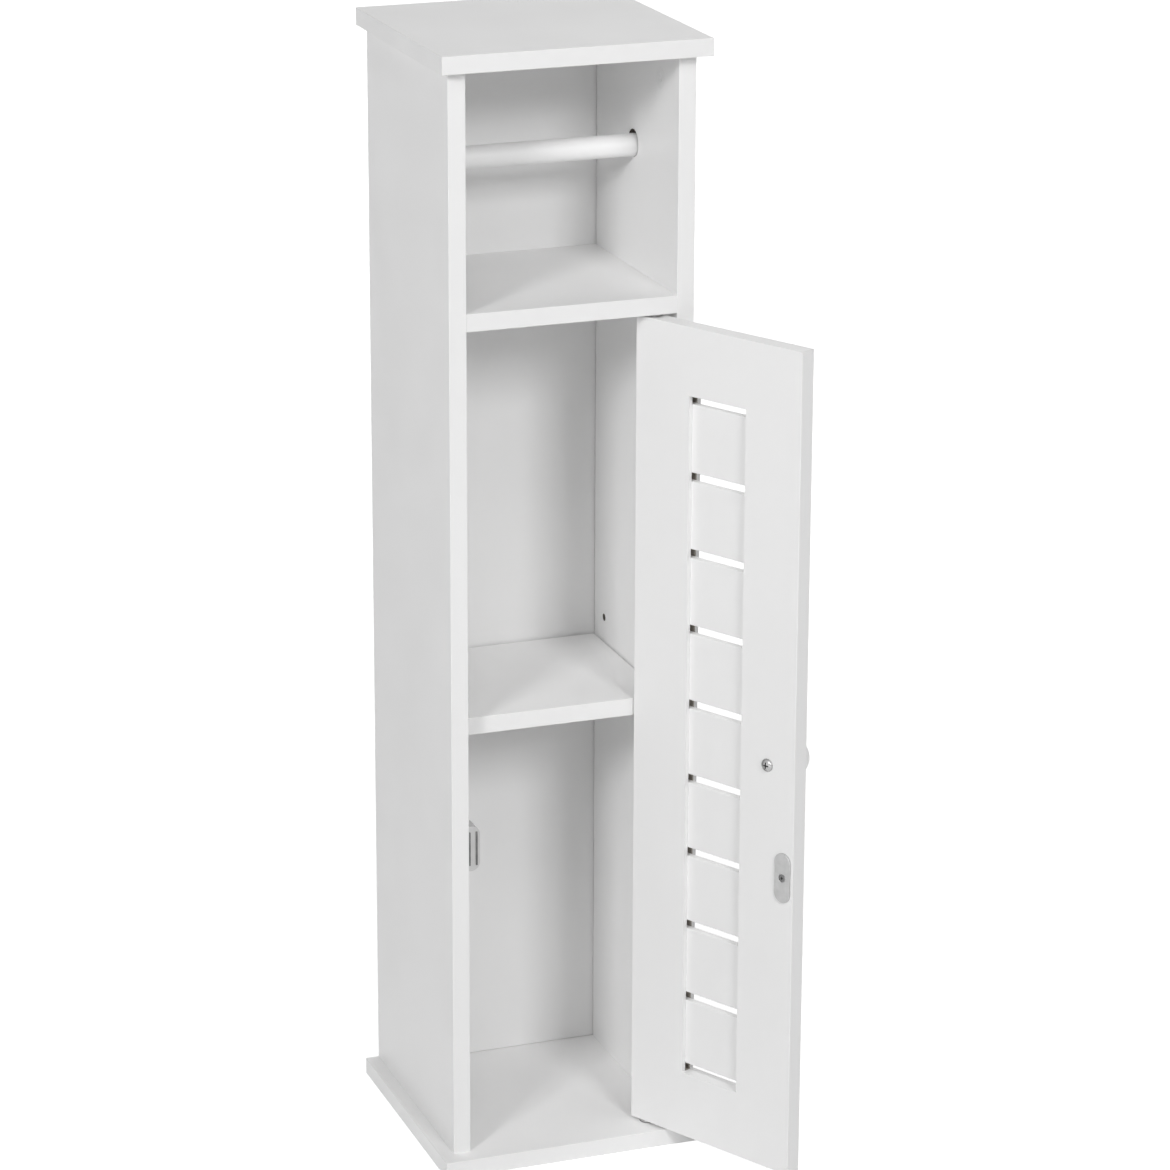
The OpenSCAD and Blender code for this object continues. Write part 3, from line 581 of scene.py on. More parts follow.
def in_mm(*points):
    """An outline whose radii and heights are given in mm."""
    return [(radius * MM, height * MM) for radius, height in points]


def rod(radius, low, high, chamfer):
    """The outline of a rod between two heights, with a chamfer at each end."""
    start = [(0, low), (radius - chamfer, low), (radius, low + chamfer)]
    return start + [(radius, high - chamfer), (radius - chamfer, high), (0, high)]


def arc(centre, radius, start, end, steps):
    """Points of an outline on an arc, its angles in degrees from the +radius direction."""
    angles = [math.radians(start + (end - start) * i / steps) for i in range(steps + 1)]
    return [(centre[0] + radius * math.cos(a), centre[1] + radius * math.sin(a)) for a in angles]


def twin_of(master, place):
    """A copy of a shape, with its own mesh, at a place."""
    pick(master)
    bpy.ops.object.duplicate(linked=False)
    return settle(bpy.context.object, place)


def copies(master, name, places):
    """Copies a shape to each place, joins the copies and removes the first shape."""
    twins = [twin_of(master, place) for place in places]
    bpy.data.objects.remove(master)
    bpy.ops.object.select_all(action="DESELECT")
    for twin in twins:
        twin.select_set(True)
    bpy.context.view_layer.objects.active = twins[0]
    if len(twins) > 1:
        bpy.ops.object.join()
    twins[0].name = name
    return twins[0]


print("Lathe helpers ready")

# %% Drilling and routing
OVERCUT = 1 * MM


def cut(piece, cutter, inside=None):
    """Takes the cutter's shape out of the piece. The cut faces get the material inside, if one is given."""
    pick(piece)
    bpy.ops.object.modifier_add(type="BOOLEAN")
    tool = piece.modifiers[-1]
    tool.operation = "DIFFERENCE"
    tool.solver = "EXACT"
    if inside:
        cutter.data.materials.append(inside)
        tool.material_mode = "TRANSFER"
    tool.object = cutter
    bpy.ops.object.modifier_apply(modifier=tool.name)
    bpy.data.objects.remove(cutter)
    return piece


def drill(piece, radius, depth, places, ease=0.08 * MM, steps=40, inside=shaded_bare_board):
    """Drills a hole at each place, +Z out of the face, its mouth a little eased. Its wall is bare board,
    painted dark as the shade inside the hole.
    """
    bit = [(0, OVERCUT), (radius + ease + OVERCUT, OVERCUT), (radius, -ease), (radius, -depth), (0, -depth)]
    return cut(piece, copies(turned("bit", bit, steps), "bits", places), inside)


print("Cutting helpers ready")

# %% [markdown]
# ## Handing a piece over
# A finished piece gets its paint, smooth shading that leaves real corners sharp, and weighted normals, so
# that broad faces stay flat next to their rounded edges. It then stands for its CAD node, rides on that
# node's body, and its box is set against the node's box. The largest difference is printed, so a slip in a
# number shows.

# %% Hand over a piece
BROAD = 0.0004
SHARP = math.radians(35)


def largest_gap(piece, node):
    """The largest difference between the boxes of a piece and of a CAD node, in mm."""
    low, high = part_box(node)
    corners = [v.co for v in piece.data.vertices]
    ends = ((min, low), (max, high))
    return max(abs(end(c[i] for c in corners) - side[i]) for i in range(3) for end, side in ends) / MM


def coat(piece, finish, broad=BROAD, painted_shade_side=(0, -1, 0)):
    """Stores where the rounded edges are and paints the piece. The faces turned to one side, if one is given,
    get the greyer paint as painted shade. Holes come later, and stay bare inside."""
    mark_edges(piece, broad)
    piece.data.materials.append(finish)
    # Faces turned to that side get the greyer paint, as painted shade.
    if painted_shade_side:
        piece.data.materials.append(side_shade_lacquer)
        for face in piece.data.polygons:
            face.material_index = int(face.normal.dot(Vector(painted_shade_side)) > 0.9)
    return piece


def hand_over(piece, node, finish=None):
    """Gives a piece its finish unless it has been coated, smooths it, and lets it stand for a CAD node."""
    pick(piece)
    piece.data.name = piece.name
    if finish:
        piece.data.materials.clear()
        piece.data.materials.append(finish)
    bpy.ops.object.shade_smooth_by_angle(angle=SHARP)
    bpy.ops.object.modifier_add(type="WEIGHTED_NORMAL")
    piece.modifiers[-1].keep_sharp = True
    bpy.ops.object.modifier_apply(modifier=piece.modifiers[-1].name)
    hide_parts(node)
    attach(piece, nodes[node]["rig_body"])
    faces = len(piece.data.polygons)
    print(f"{piece.name}: {faces} faces, {largest_gap(piece, node):.2f} mm off {node}")
    return piece


print("Hand-over helper ready")

# %% [markdown]
# ## Top and base
# Both panels are plain boards that stand out past the sides. All their edges are broken by a small rounding
# and painted. A bevel modifier would do that as well, but the operator leaves a mesh that can be cut and
# marked straight away. The base also takes four countersunk screws from below and the lower bush of the
# door's pivot.

# %% Top and base panels
BOARD = 12 * MM
EDGE = 0.4 * MM

top_board = node_box("top_panel")
round_edges(top_board, EDGE)
coat(top_board, board_lacquer)
hand_over(top_board, "top_panel")

PIVOT = Vector((59.5, -72.5, 0)) * MM
BUSH_HOLE = (4.1 * MM, 8.05 * MM)
SCREW_X = 79 * MM
SCREW_YS = (-45 * MM, 61.5 * MM)


def at_pivot(height, up=1):
    """The place on the door's axis at a height, facing up, or down at -1."""
    return facing((PIVOT.x, PIVOT.y, height), (0, 0, up))


base_board = node_box("base_panel")
round_edges(base_board, EDGE)
coat(base_board, board_lacquer)
screw_places = [facing((side * SCREW_X, y, 0), (0, 0, -1)) for side in (-1, 1) for y in SCREW_YS]
sink = [(0, OVERCUT), (4.05 * MM, OVERCUT)] + in_mm((4.05, -0.4), (2.05, -2.4), (2.05, -14), (0, -14))
cut(base_board, copies(turned("sink_bit", sink, 40), "sink_bits", screw_places), shaded_bare_board)
drill(base_board, *BUSH_HOLE, [at_pivot(BOARD)])
hand_over(base_board, "base_panel")

# %% [markdown]
# ## Sides
# Each side is a long board with all the machining on its inner face: a wide blind socket for the roll bar,
# two columns of three holes for shelf pins, two recesses for cam locks near the top, and a groove for the
# back board, a little wider than the board is thick, which shows as a dark line in the corner. The two
# boards mirror each other, apart from the depth of the socket: the bar goes into the deep right one first
# and then drops into the shallow left one. A mirror modifier would make both sockets alike, so one function
# is called for each side.

# %% Sides
PIN_ROWS = [z * MM for z in (275, 307, 339)]
PIN_YS = (-41.5 * MM, 54.5 * MM)
CAM_YS = (-45.0 * MM, 44.0 * MM)
CAM_Z = 743 * MM
CAM_HOLE = (7.5 * MM, 9.85 * MM)
PIN_HOLE = (2.55 * MM, 8 * MM)
INNER_X = 73 * MM
SOCKET = Vector((0, 3.5, 689.5)) * MM
SOCKET_R = 9.25 * MM
BACK_GROOVE = (73.4 * MM, 77.1 * MM)
BACK_GROOVE_DEEP = 5 * MM


def side_board(node, side, socket_depth):
    """One side, at -1 for the left and 1 for the right."""
    low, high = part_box(node)
    board = node_box(node)
    round_edges(board, EDGE, along(2))
    coat(board, board_lacquer)
    inner = side * INNER_X
    inwards = (-side, 0, 0)
    drill(board, SOCKET_R, socket_depth, [facing((inner, SOCKET.y, SOCKET.z), inwards)], steps=64)
    drill(board, *PIN_HOLE, [facing((inner, y, z), inwards) for y in PIN_YS for z in PIN_ROWS])
    cam_places = [facing((inner, y, CAM_Z), inwards) for y in CAM_YS]
    drill(board, *CAM_HOLE, cam_places, ease=0, steps=56, inside=None)
    left, right = sorted((inner - side * OVERCUT, inner + side * BACK_GROOVE_DEEP))
    near_y, far_y = BACK_GROOVE
    router = start_box("router", (left, near_y, low.z - OVERCUT), (right, far_y, high.z + OVERCUT))
    # The groove's walls get the dark paint too: the dark line in the corner is the wider groove plus painted
    # shade.
    cut(board, router, shaded_bare_board)
    return hand_over(board, node)


side_board("left_side", -1, 5.5 * MM)
side_board("right_side", 1, 9.5 * MM)

# %% [markdown]
# ## Back board, niche shelf and loose shelf
# The back board is thin hardboard that slides in the two grooves. The niche shelf is fixed flush with the
# front edges of the sides, and four cam locks pull it tight from below. Where it meets the sides and the
# back board its edge is broken by a small chamfer, because two sharp edges that touch show no line between
# them. The loose shelf lies on four pins behind the door. Its left front corner is rounded by a wide bevel.
# The one by the hinge is cut off by a slanted plane, in one stroke as with a saw, so that the door's hinge
# edge can swing past it.

# %% Back board
back_board = node_box("back_panel", "painted")
round_edges(back_board, 0.3 * MM, steps=2)
coat(back_board, back_lacquer, painted_shade_side=None)
hand_over(back_board, "back_panel")

# %% Niche shelf
shelf_low, shelf_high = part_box("niche_shelf")
niche_board = node_box("niche_shelf")
round_edges(niche_board, EDGE, lambda a, b: along(0)(a, b) and a.y < 0)


def joint_edge(a, b):
    """A test for the top edges that meet the sides and the back board."""
    return near(a.z, shelf_high.z) and near(b.z, shelf_high.z) and a.y + b.y > -20 * MM


round_edges(niche_board, 0.4 * MM, joint_edge, steps=1)
coat(niche_board, board_lacquer)
shelf_cams = [facing((side * 52 * MM, y, shelf_low.z), (0, 0, -1)) for side in (-1, 1) for y in CAM_YS]
drill(niche_board, *CAM_HOLE, shelf_cams, ease=0, steps=56, inside=None)
drill(niche_board, *BUSH_HOLE, [at_pivot(shelf_low.z, -1)])
hand_over(niche_board, "niche_shelf")

# %% Loose shelf
CORNER = 4 * MM
SWEEP_R = 12.893 * MM
SLANT = math.radians(30)


def level_edge(a, b):
    """A test for edges that don't rise."""
    return abs(a.z - b.z) < 0.01 * MM


rear_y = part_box("middle_shelf")[1].y
loose_board = node_box("middle_shelf")
round_edges(loose_board, CORNER, lambda a, b: along(2)(a, b) and a.y < 0 and a.x < 0, steps=10)
touching = PIVOT + SWEEP_R * Vector((-math.sin(SLANT), math.cos(SLANT), 0))
pick(loose_board)
bpy.ops.object.mode_set(mode="EDIT")
bpy.ops.mesh.select_all(action="SELECT")
bpy.ops.mesh.bisect(
    plane_co=touching,
    plane_no=(math.sin(SLANT), -math.cos(SLANT), 0),
    use_fill=True,
    clear_outer=True,
)
bpy.ops.object.mode_set(mode="OBJECT")
round_edges(loose_board, EDGE, lambda a, b: level_edge(a, b) and min(a.y, b.y) < rear_y - 1 * MM)
round_edges(loose_board, 0.3 * MM, lambda a, b: level_edge(a, b) and min(a.y, b.y) > rear_y - 0.1 * MM)
coat(loose_board, board_lacquer)
hand_over(loose_board, "middle_shelf")

# %% [markdown]
# ## Roll bar
# The bar is a turned wooden rod, lacquered, with a small chamfer at each end. It is 3 mm thinner than its
# sockets and lies at their bottom, which leaves a dark crescent of open socket above it. A cylinder with
# two bevels would come close, but on a lathe it is one outline: out along the end, round the chamfer, and
# along.

# %% Roll bar
bar_low, bar_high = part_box("roll_bar")
bar_r = (bar_high.z - bar_low.z) / 2
bar_half = (bar_high.x - bar_low.x) / 2
chamfer = 0.8 * MM
middle_r = bar_r - 0.35 * chamfer
bar_outline = rod(bar_r, -bar_half, bar_half, chamfer)
bar_outline.insert(2, (middle_r, -bar_half + 0.25 * chamfer))
bar_outline.insert(-2, (middle_r, bar_half - 0.25 * chamfer))
roll_rod = turned("roll_bar_lacquered", bar_outline, 72)
settle(roll_rod, facing((0, (bar_low.y + bar_high.y) / 2, (bar_low.z + bar_high.z) / 2), (1, 0, 0)))
hand_over(roll_rod, "roll_bar", bar_lacquer)

# %% [markdown]
# ## Door frame
# The door is two stiles and two rails around nine thin slats. It could be modelled as it stands, but closed
# all its faces are square to the axes. So each part is made closed and then turned about the pivots to
# where the door stands in the photograph. A stile keeps its inner edges sharp where it meets the rails, and
# the joint shows as a hairline. A groove in each stile holds the slats, and it is open to see at the ends
# of the slots.

# %% Turning the door open
OPEN_ANGLE = math.radians(118)
door_swing = Matrix.Translation(PIVOT) @ Matrix.Rotation(OPEN_ANGLE, 4, "Z") @ Matrix.Translation(-PIVOT)
DOOR_HALF = 70 * MM
DOOR_FRONT = -78.5 * MM
DOOR_BACK = DOOR_FRONT + BOARD
DOOR_BOTTOM = 14 * MM
DOOR_TOP = 590 * MM
STILE = 46 * MM
RAIL = 47 * MM


def hand_over_open(piece, node, finish=None):
    """Turns a piece of the closed door open, then hands it over."""
    return hand_over(settle(piece, door_swing), node, finish)


print("Door width and height, mm:", round(2 * DOOR_HALF / MM), round((DOOR_TOP - DOOR_BOTTOM) / MM))

# %% Stiles and rails
PIVOT_HOLE = (2.55 * MM, 14 * MM)
GROOVE_DEEP = 8.5 * MM
GROOVE_HALF = 2.6 * MM
KNOB = Vector((-47, -78.5, 304)) * MM
STRIKE = Vector((-61.6, -66.5, 228)) * MM


def stile(node, side):
    """A stile, at 1 for the hinge side and -1 for the free side, grooved for the slats."""
    outer, inner = side * DOOR_HALF, side * (DOOR_HALF - STILE)
    low_x, high_x = sorted((outer, inner))
    piece = start_box(node + "_lacquered", (low_x, DOOR_FRONT, DOOR_BOTTOM), (high_x, DOOR_BACK, DOOR_TOP))
    round_edges(piece, EDGE, lambda a, b: not (near(a.x, inner) and near(b.x, inner)), 4)
    # The stile's inner edge, turned to the slats, gets the greyer paint as painted shade.
    coat(piece, door_lacquer, painted_shade_side=(-side, 0, 0))
    cut_x = sorted((inner - side * OVERCUT, inner + side * GROOVE_DEEP))
    router = start_box(
        "router",
        (cut_x[0], PIVOT.y - GROOVE_HALF, DOOR_BOTTOM + RAIL),
        (cut_x[1], PIVOT.y + GROOVE_HALF, DOOR_TOP - RAIL),
    )
    # The groove's walls take the grey fibreboard paint, which holds painted shade where the slots show them.
    return cut(piece, router, shaded_groove_board)


hinge_stile = stile("door_hinge_stile", 1)
for end_z, outwards in ((DOOR_BOTTOM, -1), (DOOR_TOP, 1)):
    drill(hinge_stile, *PIVOT_HOLE, [at_pivot(end_z, outwards)])
hand_over_open(hinge_stile, "door_hinge_stile")

latch_stile = stile("door_latch_stile", -1)
drill(latch_stile, 2.05 * MM, BOARD + OVERCUT, [facing((KNOB.x, DOOR_BACK, KNOB.z), (0, 1, 0))])
hand_over_open(latch_stile, "door_latch_stile")

for rail_node, rail_low in (("door_bottom_rail", DOOR_BOTTOM), ("door_top_rail", DOOR_TOP - RAIL)):
    reach = DOOR_HALF - STILE
    rail_high = rail_low + RAIL
    rail = start_box(rail_node + "_lacquered", (-reach, DOOR_FRONT, rail_low), (reach, DOOR_BACK, rail_high))
    round_edges(rail, EDGE, along(0))
    coat(rail, door_lacquer, painted_shade_side=None)
    hand_over_open(rail, rail_node)

# %% [markdown]
# ## Slats
# Each slat is a thin board, 47 mm high, held by its ends in the grooves, with an open slot of 6 mm above
# and below it. Only its long edges are rounded, because its ends are out of sight. An array modifier would
# keep the slats in one piece, but each is a part of its own, so one slat is modelled and copied up the
# door.

# %% Nine slats
SLATS = 9
SLOT = 6 * MM
SLAT_T = 5 * MM
slat_high = (DOOR_TOP - DOOR_BOTTOM - 2 * RAIL - (SLATS + 1) * SLOT) / SLATS
slat_reach = DOOR_HALF - STILE + 8 * MM
slat_start = DOOR_BOTTOM + RAIL + SLOT
first_slat = start_box(
    "slat",
    (-slat_reach, PIVOT.y - SLAT_T / 2, slat_start),
    (slat_reach, PIVOT.y + SLAT_T / 2, slat_start + slat_high),
)
round_edges(first_slat, 0.7 * MM, along(0))
coat(first_slat, slat_lacquer, BROAD / 2, painted_shade_side=None)
for number in range(SLATS):
    slat = twin_of(first_slat, Matrix.Translation((0, 0, number * (slat_high + SLOT))))
    slat.name = f"door_slat_{number + 1}_lacquered"
    hand_over_open(slat, f"door_slat_{number + 1}")
bpy.data.objects.remove(first_slat)

# %% [markdown]
# ## Screws
# All the screws have a cross recess. The screw is turned on the lathe, and the recess is cut by two tapered
# blades, narrower at the bottom as the real bit is. Its walls get the dark pole steel, painted shade that
# keeps the recess dark. A dark cross painted on a flat head would do from afar, but it would be flat in the
# exported mesh. The knob's screw has a round head, which shows on the inside of the door. The base screws are
# countersunk.

# %% Cross recess and countersunk screws
def blade(span, deep):
    """A blade of the cross, tapered to its point, cutting down from just above z = 0."""
    tool = start_box("blade", (-span / 2, -span * 0.1, -deep), (span / 2, span * 0.1, 0.3 * deep))
    choose(tool, "VERT", lambda point: point.z < 0)
    bpy.ops.transform.resize(value=(0.45, 0.6, 1), center_override=(0, 0, 0))
    bpy.ops.object.mode_set(mode="OBJECT")
    return tool


def screw(name, outline, span, deep, plating=screw_steel, steps=48):
    """Turns an outline that ends in the middle of the head, and cuts a cross there whose walls get dark paint
    as painted shade.
    """
    made = turned(name, outline, steps)
    made.data.materials.append(plating)
    for turn in (0, 90):
        across = Matrix.Translation((0, 0, outline[-1][1])) @ Matrix.Rotation(math.radians(turn), 4, "Z")
        cut(made, settle(blade(span, deep), across), pole_steel)
    return made


SMALL = 2e-7
long_shank = in_mm((0, -32), (1.2, -32), (2, -30.8), (2, -2))
sunk_head = in_mm((3.88, -0.15), (4, -0.06), (3.94, 0), (0, 0))
base_screw = screw("screw", long_shank + sunk_head, 5 * MM, 1.5 * MM)
mark_edges(base_screw, SMALL)
screw_faces = [facing((side * SCREW_X, y, 0.4 * MM), (0, 0, -1)) for side in (-1, 1) for y in SCREW_YS]
hand_over(copies(base_screw, "base_screws_zinc", screw_faces), "base_screws")

# %% Knob screw
shank = in_mm((0, -22), (1.4, -22), (2, -21.2), (2, 0))
head_rim = in_mm((4.3, 0), (4.5, 0.25), (4.5, 0.7), (4.25, 1.25))
crown = in_mm((3.6, 1.8), (2.6, 2.2), (1.4, 2.37), (0, 2.4))
knob_screw = screw("knob_screw_zinc", shank + head_rim + crown, 5.6 * MM, 1.7 * MM)
mark_edges(knob_screw, SMALL)
settle(knob_screw, facing((KNOB.x, DOOR_BACK, KNOB.z), (0, 1, 0)))
hand_over_open(knob_screw, "knob_screw")

# %% [markdown]
# ## Knob
# The knob is a lacquered wooden one, turned on a lathe: a narrow foot, a full rounded rim and a nearly flat
# crown. A squashed ball would lack the foot and the flat crown, so it is an outline here too, its rim one
# arc. From the photograph's side it only peeks past the free edge of the open door.

# %% Knob
RIM_R = 8 * MM
rim_middle = (5.99 * MM, 12 * MM)
knob_outline = in_mm((0, 0), (6.2, 0), (6.5, 0.3), (6.5, 3.1), (6.7, 4.0))
knob_outline += arc(rim_middle, RIM_R, -66, 90, 22)
knob_outline += in_mm((2.2, 20), (0, 20))
knob = turned("door_knob_lacquered", knob_outline, 72)
settle(knob, facing(KNOB, (0, -1, 0)))
hand_over_open(knob, "door_knob", knob_lacquer)

# %% [markdown]
# ## Strike plate
# The strike plate is a small steel plate with two round ends, screwed flat to the inside of the door. It
# starts as a disc. The upper half of its points is moved up and the lower half down, which leaves the round
# ends as they are and pulls the sides straight. Its rim is broken by a small bevel, and one darker screw
# with a slightly raised head holds it.

# %% Strike plate and its screw
PLATE_T = 1.2 * MM
PLATE_R = 6.5 * MM
straight = 35 * MM - 2 * PLATE_R
bpy.ops.object.select_all(action="DESELECT")
bpy.ops.mesh.primitive_cylinder_add(vertices=96, radius=PLATE_R, depth=PLATE_T, location=(0, 0, PLATE_T / 2))
plate = settle(bpy.context.object)
plate.name = "strike_plate_nickel"
settle(plate, Matrix.Rotation(math.radians(180 / 96), 4, "Z"))
for half in (-1, 1):
    choose(plate, "VERT", lambda point: point.y * half > 0)
    bpy.ops.transform.translate(value=(0, half * straight / 2, 0))
    bpy.ops.object.mode_set(mode="OBJECT")
round_edges(plate, 0.25 * MM, lambda a, b: near(a.z, b.z) and a.z > PLATE_T / 2, 3)
mark_edges(plate, 1e-5)
countersink = in_mm((0, 2.2), (4.15, 2.2), (1.55, -0.4), (1.55, -1), (0, -1))
cut(plate, turned("countersink", countersink, 48))
plate_place = facing(STRIKE, (0, 1, 0))
settle(plate, plate_place)
hand_over_open(plate, "strike_plate", strike_steel)

strike_shank = in_mm((0, -10), (0.9, -10), (1.5, -9.1), (1.5, -1.2))
raised_head = in_mm((3.0, -0.42), (3.1, -0.32), (2.8, -0.14), (2.3, 0.04), (1.5, 0.15), (0, 0.2))
strike_screw = screw("strike_screw_zinc", strike_shank + raised_head, 3.2 * MM, 1.0 * MM, dark_steel)
mark_edges(strike_screw, SMALL)
settle(strike_screw, plate_place @ Matrix.Translation((0, 0, PLATE_T)))
hand_over_open(strike_screw, "strike_screw")

# %% [markdown]
# ## Magnetic catch
# The catch on the left side is a small moulded body with two round corners. A flat magnet sits in its
# pocket between two dark steel pole plates, which stand out of it by less than a millimetre and meet the
# strike plate when the door is closed. Two small screws go through it into the side. The body starts as a
# box at the size of its CAD node, and its pocket is cut around the other nodes' boxes, so that magnet and
# plates are sure to fit.

# %% Catch body, magnet and pole plates
catch_low, catch_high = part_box("catch_body")
CATCH_R = 6 * MM
catch = node_box("catch_body", "moulded")
round_edges(catch, CATCH_R, lambda a, b: along(1)(a, b) and near(a.x, catch_high.x), steps=12)
pick(catch)
bpy.ops.object.mode_set(mode="EDIT")
bpy.ops.mesh.select_all(action="DESELECT")
bpy.ops.mesh.edges_select_sharp(sharpness=math.radians(40))
bpy.ops.mesh.bevel(offset=0.4 * MM, segments=3, profile=0.5, affect="EDGES")
bpy.ops.object.mode_set(mode="OBJECT")
magnet_low, magnet_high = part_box("catch_magnet")
poles_low, poles_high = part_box("catch_pole_plates")
PLAY = 0.05 * MM
POLE_T = 1.2 * MM
chamber = start_box(
    "chamber",
    (catch_low.x - OVERCUT, magnet_low.y, poles_low.z - PLAY),
    (poles_high.x + PLAY, magnet_high.y, poles_high.z + PLAY),
)
cut(catch, chamber)
for slot_x in (poles_low.x, poles_high.x - POLE_T):
    pole_slot = start_box(
        "pole_slot",
        (slot_x - PLAY, catch_low.y - OVERCUT, poles_low.z - PLAY),
        (slot_x + POLE_T + PLAY, magnet_high.y - PLAY, poles_high.z + PLAY),
    )
    cut(catch, pole_slot)
CATCH_SCREW_Y = -53.2 * MM
catch_zs = [STRIKE.z + off for off in (-8 * MM, 8 * MM)]
catch_places = [facing((catch_high.x, CATCH_SCREW_Y, z), (1, 0, 0)) for z in catch_zs]
drill(catch, 2.6 * MM, 6.35 * MM, catch_places, ease=0.2 * MM, inside=None)
hand_over(catch, "catch_body", catch_plastic)

magnet = node_box("catch_magnet", "ferrite")
round_edges(magnet, 0.25 * MM, steps=2)
hand_over(magnet, "catch_magnet", ferrite)

pole = start_box("pole", poles_low, (poles_low.x + POLE_T, poles_high.y, poles_high.z))
round_edges(pole, 0.2 * MM, steps=2)
apart = poles_high.x - poles_low.x - POLE_T
poles = copies(pole, "catch_pole_plates_steel", [Matrix.Translation((off, 0, 0)) for off in (0, apart)])
hand_over(poles, "catch_pole_plates", pole_steel)

# %% Catch screws
CATCH_W = catch_high.x - catch_low.x
catch_screw_outline = [(0, -CATCH_W / 2 - 9 * MM), (1.25 * MM, -CATCH_W / 2 - 7.6 * MM)]
catch_screw_outline += in_mm((1.25, 0), (2.3, 0), (2.3, 0.8), (1.9, 1.4), (1.2, 1.6), (0, 1.6))
catch_screw = screw("screw", catch_screw_outline, 2.8 * MM, 1.0 * MM, steps=32)
screw_seats = [facing((catch_low.x + CATCH_W / 2, CATCH_SCREW_Y, z), (1, 0, 0)) for z in catch_zs]
hand_over(copies(catch_screw, "catch_screws_zinc", screw_seats), "catch_screws")

# %% [markdown]
# ## Pivots
# The door has no hinges. A steel pin is pressed into the hinge stile at the top and the bottom, and each
# pin turns in a nylon bush in the board above or below. The door's weight rests on a steel washer on the
# lower bush. All of them are round, so they are turned, and their bores come with the outline instead of
# being cut.

# %% Bushes, washer and pivot pins
BUSH_R = 4.05 * MM
FLANGE_R = 5.8 * MM
FLANGE_T = 0.9 * MM
BORE_R = 2.55 * MM
EASE = 0.25 * MM
bush_outline = [(0, -8 * MM), (BUSH_R - 0.4 * MM, -8 * MM), (BUSH_R, -7.6 * MM), (BUSH_R, 0), (FLANGE_R, 0)]
bush_outline += [(FLANGE_R, FLANGE_T - EASE), (FLANGE_R - EASE, FLANGE_T), (BORE_R + EASE, FLANGE_T)]
bush_outline += [(BORE_R, FLANGE_T - EASE), (BORE_R, -7.4 * MM), (0, -7.4 * MM)]
bush_master = turned("bush", bush_outline)
for bush_node, bush_z, bush_up in (("lower_pivot_bush", BOARD, 1), ("upper_pivot_bush", shelf_low.z, -1)):
    bush = twin_of(bush_master, at_pivot(bush_z, bush_up))
    bush.name = bush_node + "_nylon"
    hand_over(bush, bush_node, bush_nylon)
bpy.data.objects.remove(bush_master)

washer_bore = in_mm((2.65, 0.8), (2.55, 0.7), (2.55, 0.1), (2.65, 0))
washer_rim = in_mm((5.65, 0), (5.8, 0.15), (5.8, 0.65), (5.65, 0.8))
washer = turned("pivot_washer_steel", washer_bore + washer_rim + washer_bore[:1])
settle(washer, at_pivot(BOARD + FLANGE_T))
hand_over(washer, "pivot_washer", pin_steel)

PIN_R = 2.5 * MM
for pin_node in ("lower_pivot_pin", "upper_pivot_pin"):
    pin_low, pin_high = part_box(pin_node)
    pivot_pin = turned(pin_node + "_steel", rod(PIN_R, 0, pin_high.z - pin_low.z, 0.5 * MM))
    settle(pivot_pin, at_pivot(pin_low.z))
    hand_over(pivot_pin, pin_node, pin_steel)

# %% [markdown]
# ## Shelf pins
# Four plain pins carry the loose shelf. Each has a thin collar that stops it at the face of the side, so
# that every pin stands out by the same amount. One is turned and copied to its four holes.

# %% Shelf pins
COLLAR_R = 3.5 * MM
COLLAR_T = 0.7 * MM
pin_in, pin_out = 7.7 * MM, 9 * MM
shelf_pin_outline = [(0, -pin_in), (PIN_R - 0.4 * MM, -pin_in), (PIN_R, -pin_in + 0.4 * MM), (PIN_R, 0)]
shelf_pin_outline += [(COLLAR_R, 0), (COLLAR_R, COLLAR_T - 0.2 * MM), (COLLAR_R - 0.2 * MM, COLLAR_T)]
shelf_pin_outline += [(PIN_R, COLLAR_T)] + rod(PIN_R, COLLAR_T, pin_out, 0.5 * MM)[3:]
pin_master = turned("pin", shelf_pin_outline, 36)
pin_places = [facing((side * INNER_X, y, PIN_ROWS[1]), (-side, 0, 0)) for side in (-1, 1) for y in PIN_YS]
hand_over(copies(pin_master, "shelf_pins_steel", pin_places), "shelf_pins", pin_steel)

# %% [markdown]
# ## Cam locks
# A cam lock is a die-cast disc that lies in a round recess and pulls on a bolt from the next board. A white
# cap snaps in over it, nearly flush with the board. The cap is dished in the middle, and that is all that
# shows. A darker patch of paint could stand for it, but the real dish takes its shade from the same lamps
# as the board.

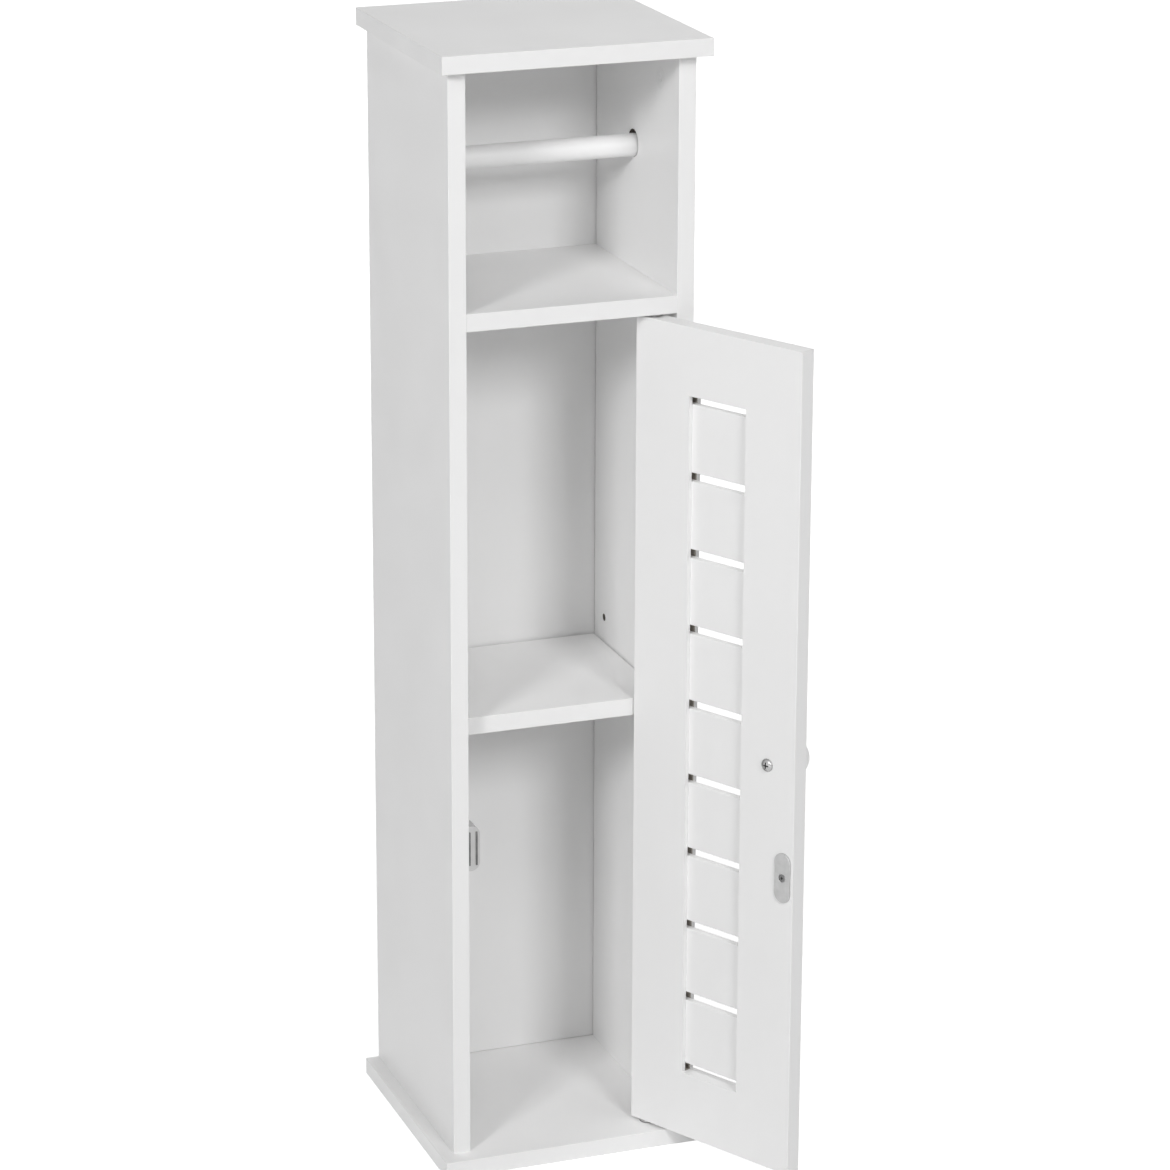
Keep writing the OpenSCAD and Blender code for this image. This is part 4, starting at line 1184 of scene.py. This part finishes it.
# %% Cam locks and their caps
CAM_R = 7.45 * MM
CAM_H = 8.4 * MM
CAP_T = 1.2 * MM
CAP_SINK = 0.03 * MM
cam_face = -0.2 * MM - CAP_T
cam_outline = rod(CAM_R, cam_face - CAM_H, cam_face, 0.3 * MM)
cam_master = screw("cam", cam_outline, 7.5 * MM, 0.8 * MM, steps=56)
side_cams = [facing((side * INNER_X, y, CAM_Z), (-side, 0, 0)) for side in (-1, 1) for y in CAM_YS]
cams = copies(cam_master, "cam_locks_zinc", side_cams + shelf_cams)
hand_over(cams, "cam_locks", cam_zinc)

cap_outline = [(0, cam_face), (CAM_R, cam_face), (CAM_R, -2 * CAP_SINK), (CAM_R - CAP_SINK, -CAP_SINK)]
cap_outline += in_mm((3.3, -0.03), (3.1, -0.11), (1.3, -0.85), (0.8, -0.93), (0, -0.93))
caps = copies(turned("cap", cap_outline, 56), "cam_caps_moulded", side_cams + shelf_cams)
hand_over(caps, "cam_caps", cap_plastic)

# %% [markdown]
# ## Pins of the back board
# Two thin panel pins nail the back board to the rear edge of the niche shelf. Their flat heads show only
# from behind, and a few turned steps are enough for them.

# %% Panel pins
NAIL_Z = 598 * MM
nail_outline = in_mm((0, -18), (0.8, -16.5), (0.8, 0))
nail_outline += in_mm((2.0, 0), (2.0, 0.5), (1.6, 0.75), (0.8, 0.8), (0, 0.8))
nail_places = [facing((side * 42 * MM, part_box("back_panel")[1].y, NAIL_Z), (0, 1, 0)) for side in (-1, 1)]
panel_pins = copies(turned("nail", nail_outline, 24), "back_panel_nails_zinc", nail_places)
hand_over(panel_pins, "back_panel_nails", screw_steel)

# %% [markdown]
# ## Parts that stay as the CAD has them
# Dowels and the bolts of the cam locks are inside the boards. Their CAD shape is right, so they keep it and
# only get their finish.

# %% Finishes for the hidden parts
HIDDEN = {"door_dowels": plain_beech, "carcass_dowels": plain_beech, "cam_bolts": screw_steel}
for hidden_node, finish in HIDDEN.items():
    slots = nodes[hidden_node].material_slots
    for place in slots:
        place.material = finish
    print(hidden_node, "slots:", len(slots))
